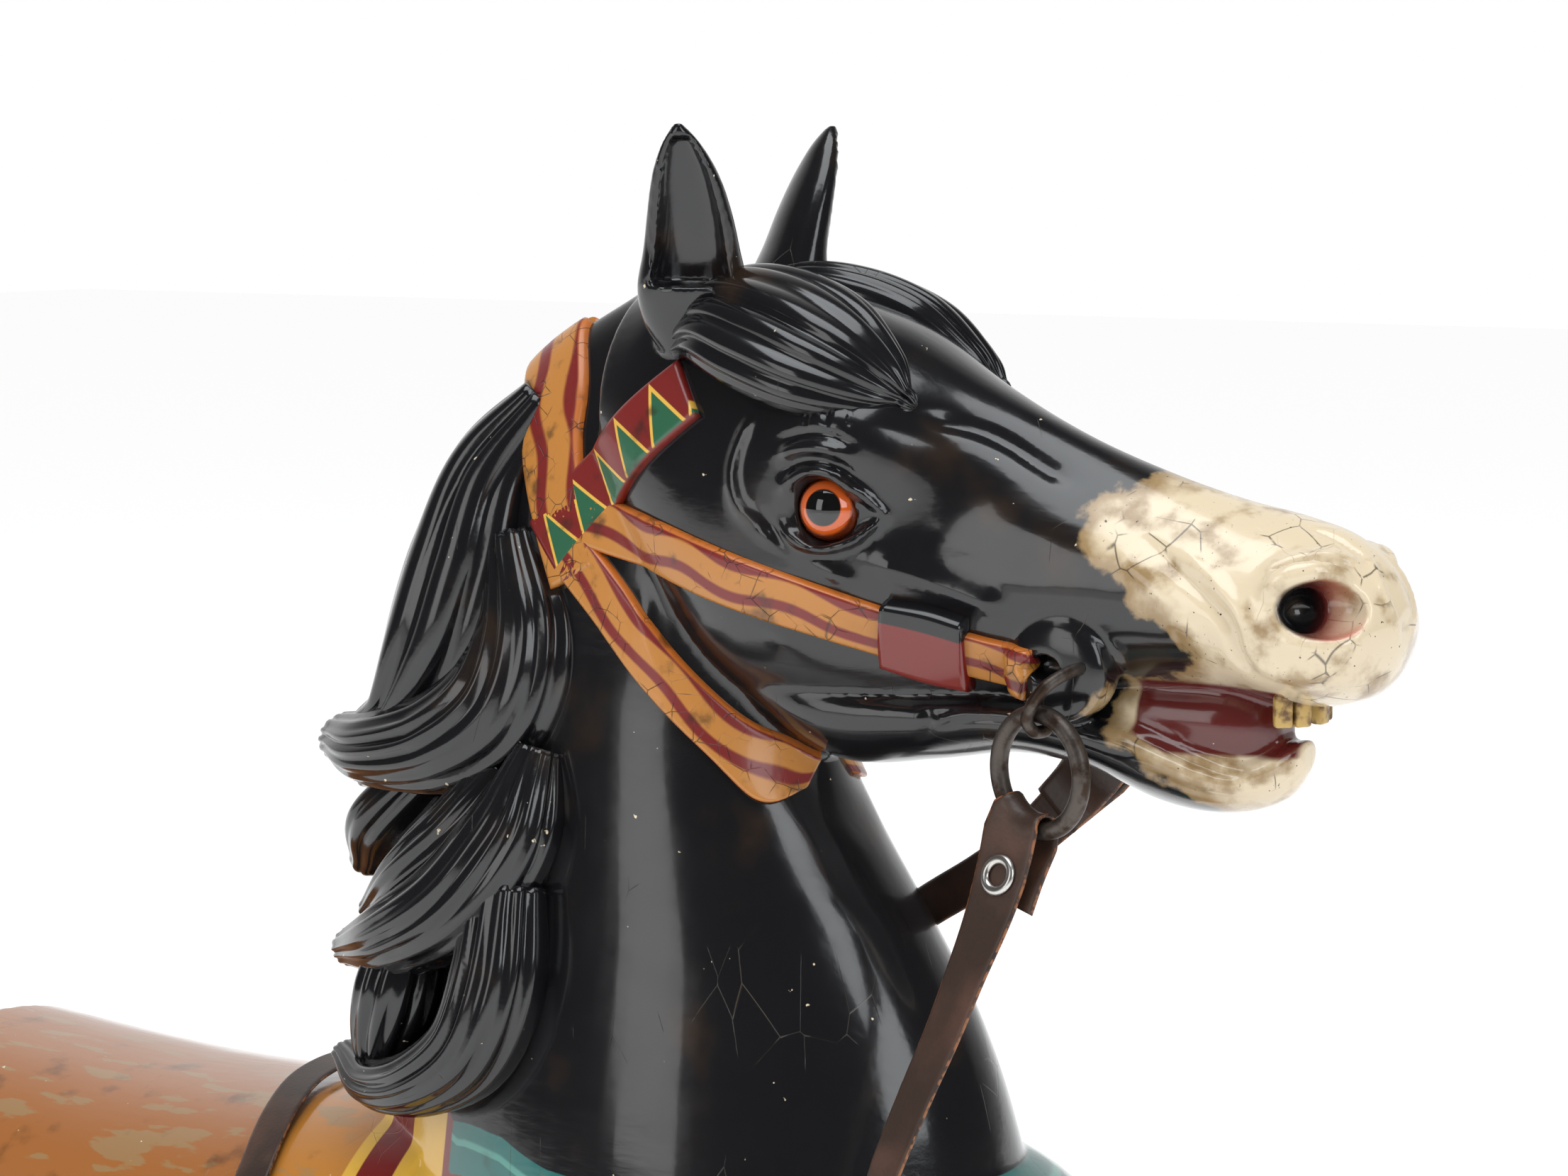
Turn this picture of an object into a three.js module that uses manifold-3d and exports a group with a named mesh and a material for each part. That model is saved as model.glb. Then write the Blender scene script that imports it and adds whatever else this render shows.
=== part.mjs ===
// A carved and painted carousel horse's head, neck and shoulders, cut off flat below as a bust.
// Millimetres, +Z up, +X towards the nose, +Y towards the horse's left. The origin lies on the flat
// underside.
import * as THREE from "three";
import { mergeVertices } from "three/addons/utils/BufferGeometryUtils.js";
import Module from "manifold-3d";

const wasm = await Module();
wasm.setup();

// ---------------------------------------------------------------- driving sizes

const BACK_END = -415; // where the back is cut square
const BREAST_END = 397;
const GAP = 0.3; // air between two pieces that touch
const EYE = { at: [271, 63, 502], radius: 17.5 };
const NOSTRIL = { at: [534, 44, 466], half: [23, 19, 14] };
const BOSS = { at: [394, 44, 427], radius: 27, height: 11 };
const STRAP_HEIGHT = 5.5; // how far the carved bridle stands up from the head
const STRAP_ROOT = 8; // how far it is sunk into the head
const RING = { radius: 29, bar: 4.7 };
const HOOK_BAR = 3.2;
const RING_HANGS_AT = [396, 71, 408]; // middle of the ring's bar where the hook holds it
const STRAP_THICKNESS = 2.6; // of the rein

// ---------------------------------------------------------------- helpers

const V = (x, y, z) => new THREE.Vector3(x, y, z);

// A closed geometry as a manifold-3d solid, turned outwards if its faces point in.
function solid(geometry) {
  const bare = new THREE.BufferGeometry();
  bare.setAttribute("position", geometry.getAttribute("position"));
  if (geometry.index) bare.setIndex(geometry.index);
  const merged = mergeVertices(bare, 1e-3);
  const vertProperties = merged.attributes.position.array;
  const triVerts = new Uint32Array(merged.index.array);
  const made = new wasm.Manifold(new wasm.Mesh({ numProp: 3, vertProperties, triVerts }));
  if (made.volume() > 0) return made;
  const turned = triVerts.map((_, i) => triVerts[i - (i % 3) + (2 - (i % 3))]);
  return new wasm.Manifold(new wasm.Mesh({ numProp: 3, vertProperties, triVerts: turned }));
}

// A manifold-3d solid as a geometry.
function geometryOf(made) {
  const { numProp, numVert, vertProperties, triVerts } = made.getMesh();
  const position = new Float32Array(numVert * 3);
  for (let i = 0; i < numVert; i++) {
    position.set(vertProperties.subarray(i * numProp, i * numProp + 3), i * 3);
  }
  const geometry = new THREE.BufferGeometry();
  geometry.setAttribute("position", new THREE.BufferAttribute(position, 3));
  geometry.setIndex(new THREE.BufferAttribute(new Uint32Array(triVerts), 1));
  return geometry;
}

// Closed surface through rings of equally many points, with a fan over each end.
function loft(rings) {
  const around = rings[0].length;
  const points = rings.flat();
  const faces = [];
  for (let r = 0; r < rings.length - 1; r++)
    for (let k = 0; k < around; k++) {
      const a = r * around + k;
      const b = r * around + ((k + 1) % around);
      faces.push(a, b, b + around, a, b + around, a + around);
    }
  for (const [first, turn] of [[0, 1], [(rings.length - 1) * around, 0]]) {
    const middle = points.length;
    const ring = points.slice(first, first + around);
    points.push(ring.reduce((sum, p) => sum.add(p), V(0, 0, 0)).divideScalar(around));
    for (let k = 0; k < around; k++) {
      const [a, b] = [first + k, first + ((k + 1) % around)];
      faces.push(middle, turn ? b : a, turn ? a : b);
    }
  }
  const geometry = new THREE.BufferGeometry().setFromPoints(points);
  geometry.setIndex(faces);
  return geometry;
}

// Smooth curve through the rows of a table, read at any value of its first column.
function smoothTable(rows) {
  const width = rows[0].length - 1;
  const at = new THREE.CubicInterpolant(
    rows.map((r) => r[0]), rows.flatMap((r) => r.slice(1)), width, new Array(width),
  );
  return (t) => [...at.evaluate(t)];
}

// The same rows with their order as the first column, so that a path can be read at any share, 0 to 1.
function alongRows(rows) {
  const at = smoothTable(rows.map((row, i) => [i / (rows.length - 1), ...row]));
  return (t) => at(t);
}

// Value between -1 and 1 raised to a power, keeping its sign.
const rounded = (v, power) => Math.sign(v) * Math.abs(v) ** power;

// Half width at height share t, through a low, a middle and a high width.
function widthAt(t, low, middle, high) {
  const [a, b, c] = [0.15, 0.5, 0.85];
  return (low * (t - b) * (t - c)) / ((a - b) * (a - c)) +
    (middle * (t - a) * (t - c)) / ((b - a) * (b - c)) +
    (high * (t - a) * (t - b)) / ((c - a) * (c - b));
}

// Adds a soft swelling, or a hollow, to the points of rings on both sides: push is how far its middle
// moves.
function swell(rings, { centre, radius, push }) {
  for (const side of [1, -1])
    for (const p of rings.flat()) {
      const d = ((p.x - centre[0]) / radius[0]) ** 2 + ((p.y - side * centre[1]) / radius[1]) ** 2 +
        ((p.z - centre[2]) / radius[2]) ** 2;
      const share = Math.exp(-d);
      p.x += share * push[0];
      p.y += share * push[1] * side;
      p.z += share * push[2];
    }
}

// Tapered lock swept along rows of x, out, z, half width, half depth. Its face looks to "facing",
// "ridges" strands run along that face with grooves between them, and side is 1 for the horse's left,
// -1 for its right.
function lock(rows, { facing, side, ridges = 1, groove = 0.24, steps = 5 }) {
  const at = alongRows(rows);
  const place = (t) => {
    const [x, out, z] = at(t);
    return V(x, out * side, z);
  };
  const face = V(facing[0], facing[1] * side, facing[2]);
  const crown = 2 * Math.max(ridges, 2);
  const front = Array.from({ length: crown + 1 }, (_, j) => (
    [(Math.PI * j) / crown, j % 2 || ridges < 2 ? 1 : 1 - groove]
  ));
  const back = [1.3, 1.7].map((share) => [share * Math.PI, 1]);
  const rings = Array.from({ length: steps + 1 }, (_, i) => {
    const t = i / steps;
    const [, , , wide, deep] = at(t);
    const along = place(Math.min(t + 0.02, 1)).sub(place(Math.max(t - 0.02, 0))).normalize();
    const across = along.clone().cross(face).normalize();
    const up = across.clone().cross(along).normalize();
    return [...front, ...back].map(([angle, reach]) => place(t)
      .addScaledVector(across, Math.cos(angle) * Math.max(wide, 0.8))
      .addScaledVector(up, Math.sin(angle) * reach * Math.max(deep, 0.8)));
  });
  return solid(loft(rings));
}

// ---------------------------------------------------------------- head

// Upright sections of the skull and upper muzzle: x, top, bottom, half widths low, middle and high.
const SKULL = [
  [112, 606, 470, 36, 48, 42],
  [140, 613, 420, 48, 60, 54],
  [180, 616, 375, 54, 70, 62],
  [230, 610, 366, 54, 74, 70],
  [280, 594, 368, 48, 71, 72],
  [330, 565, 384, 44, 60, 52],
  [380, 541, 400, 43, 54, 40],
  [430, 523, 413, 42, 50, 37],
  [470, 512, 416, 42, 50, 38],
  [505, 505, 413, 44, 52, 40],
  [532, 496, 416, 42, 47, 35],
  [550, 480, 428, 28, 33, 24],
  [557, 466, 444, 9, 11, 8],
];
// The lower jaw, in the same columns.
const JAW = [
  [200, 440, 372, 30, 46, 42],
  [250, 420, 361, 36, 50, 48],
  [300, 412, 367, 32, 45, 46],
  [350, 410, 375, 28, 40, 44],
  [395, 406, 370, 26, 38, 42],
  [430, 404, 358, 26, 37, 38],
  [460, 394, 355, 26, 34, 34],
  [484, 388, 359, 22, 29, 30],
  [500, 394, 368, 15, 20, 21],
  [508, 396, 380, 6, 8, 8],
];
// The mouth behind the lips, and the tongue in it.
const MOUTH = [
  [392, 425, 380, 20, 24, 22],
  [440, 424, 376, 22, 26, 24],
  [480, 424, 374, 18, 22, 20],
  [496, 420, 376, 8, 10, 8],
];
const BROW = { centre: [285, 68, 540], radius: [42, 36, 26], push: [0, 12, 6] };
const CHEEK = { centre: [225, 70, 440], radius: [60, 40, 60], push: [0, 9, -2] };
const ORBIT_HOLLOW = { centre: [276, 80, 494], radius: [30, 22, 17], push: [0, -5, 0] };
const TEMPLE_HOLLOW = { centre: [330, 62, 500], radius: [34, 26, 22], push: [0, -5, 0] };
const UPPER_LIP = { centre: [512, 48, 430], radius: [36, 22, 16], push: [0, 6, -2] };

function headRings(table, step, around) {
  const at = smoothTable(table);
  const [first, last] = [table[0][0], table.at(-1)[0]];
  const count = Math.round((last - first) / step);
  return Array.from({ length: count + 1 }, (_, i) => {
    const x = first + ((last - first) * i) / count;
    const [top, bottom, low, middle, high] = at(x);
    const [centre, half] = [(top + bottom) / 2, (top - bottom) / 2];
    return Array.from({ length: around }, (_, k) => {
      const angle = (2 * Math.PI * k) / around;
      const up = rounded(Math.cos(angle), 0.84);
      const out = rounded(Math.sin(angle), 0.84);
      return V(x, out * widthAt((up + 1) / 2, low, middle, high), centre + up * half);
    });
  });
}

function skull() {
  const rings = headRings(SKULL, 24, 18);
  for (const muscle of [BROW, CHEEK, ORBIT_HOLLOW, TEMPLE_HOLLOW, UPPER_LIP]) swell(rings, muscle);
  return join([rings, headRings(JAW, 24, 12), headRings(MOUTH, 35, 8)].map((each) => solid(loft(each))));
}

// Upper teeth on an arc behind the lip.
function teeth() {
  const arc = { middle: 486, radius: 27, each: 0.36, height: 415 };
  return [-2, -1, 0, 1, 2].map((i) => {
    const angle = (i + 0.5 * Math.sign(i)) * arc.each;
    const tooth = new THREE.BoxGeometry(7, 9, 22).translate(arc.radius, 0, 0).rotateZ(angle);
    return solid(tooth.translate(arc.middle, 0, arc.height));
  });
}

// Upper and lower lid of one eye, as rims that taper into the corners.
const LIDS = [
  [
    [240, 73, 496, 2, 2],
    [252, 79, 513, 5, 5],
    [271, 80, 521, 6, 6],
    [290, 76, 514, 5, 5],
    [307, 68, 497, 2, 2],
  ],
  [
    [242, 75, 497, 2, 2],
    [254, 79, 486, 4, 4],
    [271, 79, 481.5, 4, 4],
    [289, 75, 485, 4, 4],
    [305, 68, 497, 2, 2],
  ],
];
const lids = (side) => LIDS.map((rows) => lock(rows, { facing: [0.2, 1, 0], side, steps: 4 }));

// Rim over the nostril.
const NOSTRIL_RIM = [
  [502, 47, 468, 3, 3],
  [512, 47, 479, 6, 5],
  [527, 40, 484, 6, 4],
  [538, 28, 480, 4, 3],
  [543, 20, 472, 1, 1],
];
const nostrilRim = (side) => lock(NOSTRIL_RIM, { facing: [0.5, 0.8, 0.3], side, steps: 4 });

function nostril(side) {
  const hole = new THREE.SphereGeometry(1, 10, 6);
  hole.scale(...NOSTRIL.half);
  hole.rotateZ(-0.75 * side).translate(NOSTRIL.at[0], NOSTRIL.at[1] * side, NOSTRIL.at[2]);
  return solid(hole);
}

function eyeball(side, extra = 0) {
  const ball = new THREE.SphereGeometry(EYE.radius + extra, 12, 7);
  return ball.translate(EYE.at[0], EYE.at[1] * side, EYE.at[2]);
}

// ---------------------------------------------------------------- ears

const EAR = { base: [170, 43, 592], tip: [183.5, 74.3, 696.8], facing: [0.5, 0.86] };
// Height share, half width, half thickness.
const EAR_SHAPE = [
  [-0.2, 12, 9],
  [0, 25, 17],
  [0.18, 29, 20],
  [0.38, 25.5, 15],
  [0.58, 22, 12.5],
  [0.78, 16.5, 9.5],
  [0.92, 9, 6.5],
  [1, 2.5, 2.5],
];

function earForm(side, { from, to, wide, deep, forward }) {
  const at = smoothTable(EAR_SHAPE);
  const face = V(EAR.facing[0], EAR.facing[1] * side, 0);
  const across = V(-face.y, face.x, 0);
  const rings = Array.from({ length: 7 }, (_, i) => {
    const t = from + ((to - from) * i) / 6;
    const [w, d] = at(t);
    const middle = V(
      THREE.MathUtils.lerp(EAR.base[0], EAR.tip[0], t),
      side * (THREE.MathUtils.lerp(EAR.base[1], EAR.tip[1], t) - 5 * Math.sin(Math.PI * t)),
      THREE.MathUtils.lerp(EAR.base[2], EAR.tip[2], t),
    ).addScaledVector(face, forward * d);
    return Array.from({ length: 10 }, (_, k) => {
      const angle = (2 * Math.PI * k) / 10;
      return middle.clone().addScaledVector(across, Math.cos(angle) * w * wide)
        .addScaledVector(face, Math.sin(angle) * d * deep);
    });
  });
  return solid(loft(rings));
}

const ear = (side) => earForm(side, { from: -0.2, to: 1, wide: 1, deep: 1, forward: 0 });
const earHollow = (side) => earForm(side, { from: 0.2, to: 0.93, wide: 0.74, deep: 0.95, forward: 0.8 });

// ---------------------------------------------------------------- neck and body

// Stations down the neck: station, crest x and z, throat x and z, half width.
const NECK = [
  [0, 114, 610, 225, 420, 48],
  [1, 41, 566, 232, 352, 60],
  [2, -8, 500, 258, 310, 66],
  [3, -36, 420, 289, 266, 76],
  [4, -54, 330, 318, 215, 92],
  [5, -72, 240, 338, 155, 112],
  [6, -86, 150, 351, 85, 128],
  [7, -108, 60, 350, -10, 138],
];

function neck() {
  const at = smoothTable(NECK);
  const [steps, around] = [11, 18];
  const rings = Array.from({ length: steps + 1 }, (_, i) => {
    const [cx, cz, tx, tz, w] = at((7 * i) / steps);
    return Array.from({ length: around }, (_, k) => {
      const angle = (2 * Math.PI * k) / around;
      const t = (rounded(Math.cos(angle), 0.9) + 1) / 2;
      const out = rounded(Math.sin(angle), 0.9);
      return V(tx + (cx - tx) * t, out * widthAt(t, w * 0.98, w, w * 0.72), tz + (cz - tz) * t);
    });
  });
  return solid(loft(rings));
}

// Upright sections of the back and breast: x, top, half width.
const BODY = [
  [-415, 130, 150],
  [-330, 125, 150],
  [-240, 123, 150],
  [-150, 128, 148],
  [-60, 143, 148],
  [40, 160, 150],
  [140, 172, 152],
  [220, 174, 151],
  [290, 166, 146],
  [340, 148, 134],
  [375, 116, 108],
  [392, 74, 74],
  [397, 36, 40],
];

function body({ from, to, steps, extra = 0 }) {
  const at = smoothTable(BODY);
  const around = 18;
  const rings = Array.from({ length: steps + 1 }, (_, i) => {
    const x = from + (to - from) * Math.sin((Math.PI * i) / (2 * steps)); // closer towards the breast
    const [top, w] = at(x);
    return Array.from({ length: around }, (_, k) => {
      const angle = (2 * Math.PI * k) / around;
      const [out, up] = [rounded(Math.sin(angle), 0.9), rounded(Math.cos(angle), 0.9)];
      return V(x, (w + extra) * out, (top + extra) * up);
    });
  });
  return solid(loft(rings));
}

// ---------------------------------------------------------------- mane and forelock

// Each lock of hair: rows of x, out from the middle, z, half width and half depth.
const MANE = [
  { // the long upper lock, from behind the ears down the crest
    rows: [
      [56, 16, 548, 16, 16],
      [28, 26, 506, 30, 28],
      [16, 38, 456, 38, 33],
      [4, 46, 410, 37, 34],
      [-18, 52, 372, 24, 26],
      [-48, 52, 358, 12, 14],
    ],
    facing: [-0.2, 1, 0.1],
    ridges: 3,
  },
  { // the lower part of it, that sweeps back into the curl
    rows: [
      [50, 36, 470, 20, 20],
      [70, 52, 424, 34, 28],
      [62, 64, 386, 36, 30],
      [26, 70, 362, 30, 31],
      [-24, 64, 352, 23, 29],
      [-62, 50, 352, 15, 19],
    ],
    facing: [-0.1, 1, -0.1],
    ridges: 4,
  },
  { // two small curls under it
    rows: [[-20, 34, 350, 14, 14], [-58, 24, 334, 16, 18], [-76, 18, 326, 9, 10]],
    facing: [-0.6, 1, 0],
    ridges: 2,
    small: true,
  },
  {
    rows: [[-10, 46, 336, 16, 16], [-44, 44, 306, 18, 20], [-62, 34, 280, 11, 12]],
    facing: [-0.6, 1, 0],
    ridges: 2,
    small: true,
  },
  { // the middle locks
    rows: [
      [66, 66, 346, 20, 18],
      [44, 80, 316, 21, 23],
      [12, 82, 288, 19, 23],
      [-26, 72, 262, 9, 11],
    ],
    facing: [0, 1, 0],
    ridges: 3,
  },
  {
    rows: [
      [90, 72, 362, 14, 14],
      [84, 88, 320, 28, 24],
      [58, 98, 282, 30, 28],
      [12, 94, 256, 24, 27],
      [-36, 78, 240, 12, 15],
    ],
    facing: [0, 1, 0],
    ridges: 4,
  },
  { // the lower locks, that hang and end in a curl to the back
    rows: [[10, 84, 256, 20, 16], [4, 92, 222, 24, 24], [-4, 94, 192, 18, 18], [-4, 92, 170, 8, 8]],
    facing: [0, 1, 0],
    ridges: 3,
    small: true,
  },
  {
    rows: [
      [84, 96, 290, 24, 18],
      [88, 108, 244, 28, 24],
      [76, 114, 206, 26, 26],
      [42, 114, 182, 20, 25],
      [2, 104, 173, 14, 20],
      [-34, 86, 180, 8, 12],
    ],
    facing: [0, 1, 0],
    ridges: 4,
  },
];
const FORELOCK = {
  rows: [
    [158, 30, 588, 22, 12],
    [190, 40, 597, 35, 21],
    [226, 47, 590, 42, 25],
    [262, 52, 577, 38, 24],
    [290, 50, 564, 23, 16],
    [303, 48, 557, 8, 8],
  ],
  facing: [0.1, 0.6, 0.8],
  ridges: 5,
};

// ---------------------------------------------------------------- carved bridle

const OUT = [0, 1, 0];
// Straps as rows of a point near the surface, its outward direction and the width there.
const STRAPS = [
  { // over the poll and down to the crossing
    rows: [
      [57, 0, 575, [-0.55, 0, 0.83], 50],
      [64, 30, 556, [-0.5, 0.5, 0.7], 50],
      [72, 46, 526, [-0.3, 0.9, 0.3], 47],
      [88, 56, 492, OUT, 42],
      [106, 58, 456, OUT, 38],
    ],
    steps: 6,
  },
  { // across the brow, up under the forelock
    rows: [
      [82, 54, 470, OUT, 40],
      [112, 58, 501, OUT, 38],
      [142, 64, 530, OUT, 36],
      [180, 66, 560, OUT, 36],
    ],
    steps: 5,
  },
  { // along the cheek
    rows: [
      [112, 60, 486, OUT, 28],
      [160, 68, 477, OUT, 29],
      [206, 76, 466, OUT, 29],
      [256, 72, 453, OUT, 28],
      [306, 55, 438, OUT, 27],
    ],
    steps: 7,
  },
  { // under the throat
    rows: [
      [100, 58, 470, OUT, 30],
      [130, 60, 444, OUT, 28],
      [160, 60, 412, OUT, 26],
      [190, 54, 383, OUT, 24],
      [216, 40, 361, [0.1, 0.8, -0.5], 18],
      [232, 26, 352, [0.2, 0.8, -0.5], 10],
    ],
    steps: 7,
  },
  { // from the buckle to the boss
    rows: [[336, 50, 432, OUT, 24], [356, 48, 428, OUT, 24], [380, 46, 424, OUT, 26]],
    steps: 2,
  },
];
const BUCKLE = {
  rows: [[300, 56, 440, OUT, 38], [322, 50, 435, OUT, 42], [342, 48, 431, OUT, 40]],
  steps: 2,
  height: 11,
};

// Band that follows the surface under it: rays from outside find the surface, and the band stands up
// from it.
function strapOn(surface, side, { rows, steps, height = STRAP_HEIGHT }) {
  const at = alongRows(rows.map(([x, y, z, facing, wide]) => [x, y, z, ...facing, wide]));
  const ray = new THREE.Raycaster();
  const point = (t) => {
    const [x, y, z] = at(t);
    return V(x, y * side, z);
  };
  const rings = Array.from({ length: steps + 1 }, (_, i) => {
    const t = i / steps;
    const [, , , fx, fy, fz, wide] = at(t);
    const face = V(fx, fy * side, fz).normalize();
    const along = point(Math.min(t + 0.02, 1)).sub(point(Math.max(t - 0.02, 0)));
    const across = along.cross(face).normalize();
    const feet = [-1, 0, 1].map((share) => {
      const from = point(t).addScaledVector(across, (share * wide) / 2).addScaledVector(face, 45);
      ray.set(from, face.clone().negate());
      const hit = ray.intersectObject(surface)[0];
      if (!hit) return { foot: from.addScaledVector(face, -45), up: face };
      const normal = hit.face.normal.clone().multiplyScalar(Math.sign(hit.face.normal.dot(face)));
      return { foot: hit.point, up: normal.add(face).normalize() };
    });
    const raised = feet.map(({ foot, up }) => foot.clone().addScaledVector(up, height));
    const sunk = feet.map(({ foot, up }) => foot.clone().addScaledVector(up, -STRAP_ROOT));
    return [...raised, ...sunk.reverse()];
  });
  return solid(loft(rings));
}

// Round boss at the bit, with the half-moon hole that is bored into it.
function boss(side) {
  const { at, radius, height } = BOSS;
  const outline = [[0, -12], [radius, -12], [radius, height * 0.6], [radius - 5, height], [0, height + 1]];
  const disc = new THREE.LatheGeometry(outline.map(([r, y]) => new THREE.Vector2(r, y)), 16);
  return solid(disc.rotateZ(side > 0 ? 0 : Math.PI).translate(at[0], at[1] * side, at[2]));
}

function bossHole(side) {
  const hole = new THREE.CylinderGeometry(9, 8, 24, 10);
  hole.scale(1.05, 1, 0.72).translate(BOSS.at[0] - 6, (BOSS.at[1] + 8) * side, BOSS.at[2] + 1);
  return solid(hole);
}

// ---------------------------------------------------------------- the carved horse

const below = solid(new THREE.BoxGeometry(2000, 2000, 1000).translate(0, 0, -500));
const both = (make) => [1, -1].flatMap((side) => make(side));
const join = (pieces) => pieces.reduce((whole, piece) => whole.add(piece));

const SADDLE = { end: 22, raised: 4 };
const form = join([
  skull(), neck(),
  body({ from: BACK_END, to: BREAST_END, steps: 12 }),
  body({ from: BACK_END, to: SADDLE.end, steps: 4, extra: SADDLE.raised }),
]);
const surface = new THREE.Mesh(geometryOf(form), new THREE.MeshBasicMaterial({ side: THREE.DoubleSide }));

const carved = join([
  form, ...teeth(),
  ...both((side) => [
    ear(side).subtract(earHollow(side)), ...lids(side), nostrilRim(side),
    ...MANE.filter(({ small }) => side < 0 || !small)
      .map(({ rows, facing, ridges }) => lock(rows, { facing, side, ridges: side < 0 ? ridges : 2 })),
    lock(FORELOCK.rows, { ...FORELOCK, side }),
    ...STRAPS.map((strap) => strapOn(surface, side, strap)),
    strapOn(surface, side, BUCKLE), boss(side),
  ]),
]);
// The same solid without the closed pockets that its parts leave between them.
const withoutPockets = (made) => join(made.decompose().filter((each) => each.volume() > 0));
const hollows = join([
  below, ...both((side) => [solid(eyeball(side, GAP)), nostril(side), bossHole(side)]),
]);

// ---------------------------------------------------------------- hooks and rings

// Which way each ring hangs from its hook, and which way its face looks. The left one is pulled back.
const RINGS = {
  right: { side: -1, down: V(0, 0, -1), face: V(-0.297, -0.955, 0) },
  left: { side: 1, down: V(-0.7, 0, -0.714), face: V(0, 1, 0) },
};
for (const ring of Object.values(RINGS)) {
  const slack = RING.bar + HOOK_BAR + 3 * GAP;
  const seat = V(RING_HANGS_AT[0], RING_HANGS_AT[1] * ring.side, RING_HANGS_AT[2] - slack);
  ring.centre = seat.addScaledVector(ring.down, RING.radius - slack);
  ring.across = ring.down.clone().cross(ring.face).multiplyScalar(ring.side);
}

function reinRing({ centre, across, down, face }) {
  const torus = new THREE.TorusGeometry(RING.radius, RING.bar, 6, 18);
  const turn = new THREE.Matrix4().makeBasis(across, down.clone().negate(), face);
  return torus.applyMatrix4(turn).translate(centre.x, centre.y, centre.z);
}

// Iron hook driven into the boss, bent round the ring.
function bitHook(side) {
  const [x, out, z] = RING_HANGS_AT;
  const reach = RING.bar + HOOK_BAR + 3 * GAP;
  const [nx, ny] = [-0.297 * reach, 0.955 * reach];
  const bends = [
    [x + 13, out - 24, z + 21],
    [x + 12, out - 9, z + 21],
    [x + 5, out + 5, z + 14],
    [x + nx, out + ny, z],
    [x + 0.6 * nx, out + 0.6 * ny, z - 0.84 * reach],
    [x, out, z - reach],
    [x - 0.6 * nx, out - 0.6 * ny, z - 0.84 * reach],
    [x - nx, out - ny, z],
  ];
  const path = new THREE.CatmullRomCurve3(bends.map(([px, py, pz]) => V(px, py * side, pz)));
  const section = new THREE.Shape(new THREE.EllipseCurve(0, 0, HOOK_BAR, HOOK_BAR).getPoints(6));
  return new THREE.ExtrudeGeometry(section, { steps: 11, bevelEnabled: false, extrudePath: path });
}

// ---------------------------------------------------------------- the rein

const COLUMNS = [-1, 0, 1];
const FOLD_HALF_ANGLE = 0.6; // how much of the ring's bar the strap's fold covers, to each side
const FOLD_TURNED = { right: -0.38, left: 0 };

// Rows of the strap's fold over the ring's bar: turn runs from 0, on the outer face, to 1, on the inner
// face.
function foldRow({ centre, across, down, face }, turned, turn) {
  const reach = RING.bar + 5 * GAP + STRAP_THICKNESS / 2;
  const angle = Math.PI * turn;
  return COLUMNS.map((share) => {
    const around = turned + FOLD_HALF_ANGLE * share;
    const radial = across.clone().multiplyScalar(Math.sin(around)).addScaledVector(down, Math.cos(around));
    return centre.clone().addScaledVector(radial, RING.radius - reach * Math.sin(angle))
      .addScaledVector(face, reach * Math.cos(angle));
  });
}

// The strap's way from the right ring round to the left one: x, y, z, width, how far its edges curl up
// towards the ring, and the direction across it.
const REIN_RUN = [
  [381.5, -76.5, 340, 36, 4, 0.89, -0.28, -0.36],
  [379.5, -80, 327, 34, 1, 0.9, -0.28, -0.3],
  [376, -88, 305, 31, 0, 0.93, -0.3, -0.12],
  [371, -99, 280, 28, 0, 0.94, -0.32, -0.05],
  [366, -113, 252, 26, 0, 0.93, -0.34, -0.05],
  [360, -130, 222, 25, 0, 0.92, -0.37, -0.05],
  [354, -148, 188, 24, 0, 0.9, -0.42, -0.05],
  [347, -160, 150, 24, 0, 0.8, -0.6, 0],
  [332, -166, 108, 24, 0, 0.6, -0.8, 0],
  [300, -170, 66, 24, 0, 0.35, -0.93, 0],
  [250, -173, 34, 24, 0, 0.1, -1, 0],
  [190, -175, 19, 24, 0, 0, -1, 0],
  [120, -176, 15, 24, 0, 0, -1, 0],
  [50, -176, 17, 24, 0, 0, -1, 0],
  [-10, -174, 26, 24, 0, -0.1, -1, 0],
  [-50, -168, 42, 24, 0, -0.35, -0.93, 0],
  [-70, -156, 62, 24, 0, -0.6, -0.7, -0.1],
  [-79, -136, 86, 24, 0, -0.8, -0.4, -0.2],
  [-86, -110, 111, 24, 0, -0.92, -0.13, -0.2],
  [-100, -71, 134, 24, 0, -0.95, -0.1, -0.1],
  [-114, -26, 144, 24, 0, -0.98, 0, 0],
  [-116, 25, 144, 24, 0, -0.98, 0.1, 0],
  [-95, 76, 133, 24, 0, -0.75, 0.47, -0.27],
  [-55, 124, 120, 24, 0, -0.3, 0.45, -0.8],
  [0, 148, 142, 24, 0, 0.3, 0.17, -0.93],
  [60, 152, 170, 24, 0, 0.4, 0, -0.9],
  [120, 144, 196, 24, 0, 0.42, -0.12, -0.9],
  [180, 119, 228, 24, 0, 0.42, -0.15, -0.88],
  [233, 97, 262, 24, 0, 0.45, -0.1, -0.88],
  [272, 88, 286, 24, 0, 0.5, -0.05, -0.86],
  [300, 83, 306, 25, 0, 0.6, 0, -0.8],
  [328, 79, 331, 29, 0, 0.68, 0, -0.73],
  [341, 77.5, 344, 33, 1, 0.71, 0, -0.7],
  [350, 77.5, 353, 36, 4, 0.71, 0, -0.7],
];
const RUN_ROWS = 38;
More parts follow.
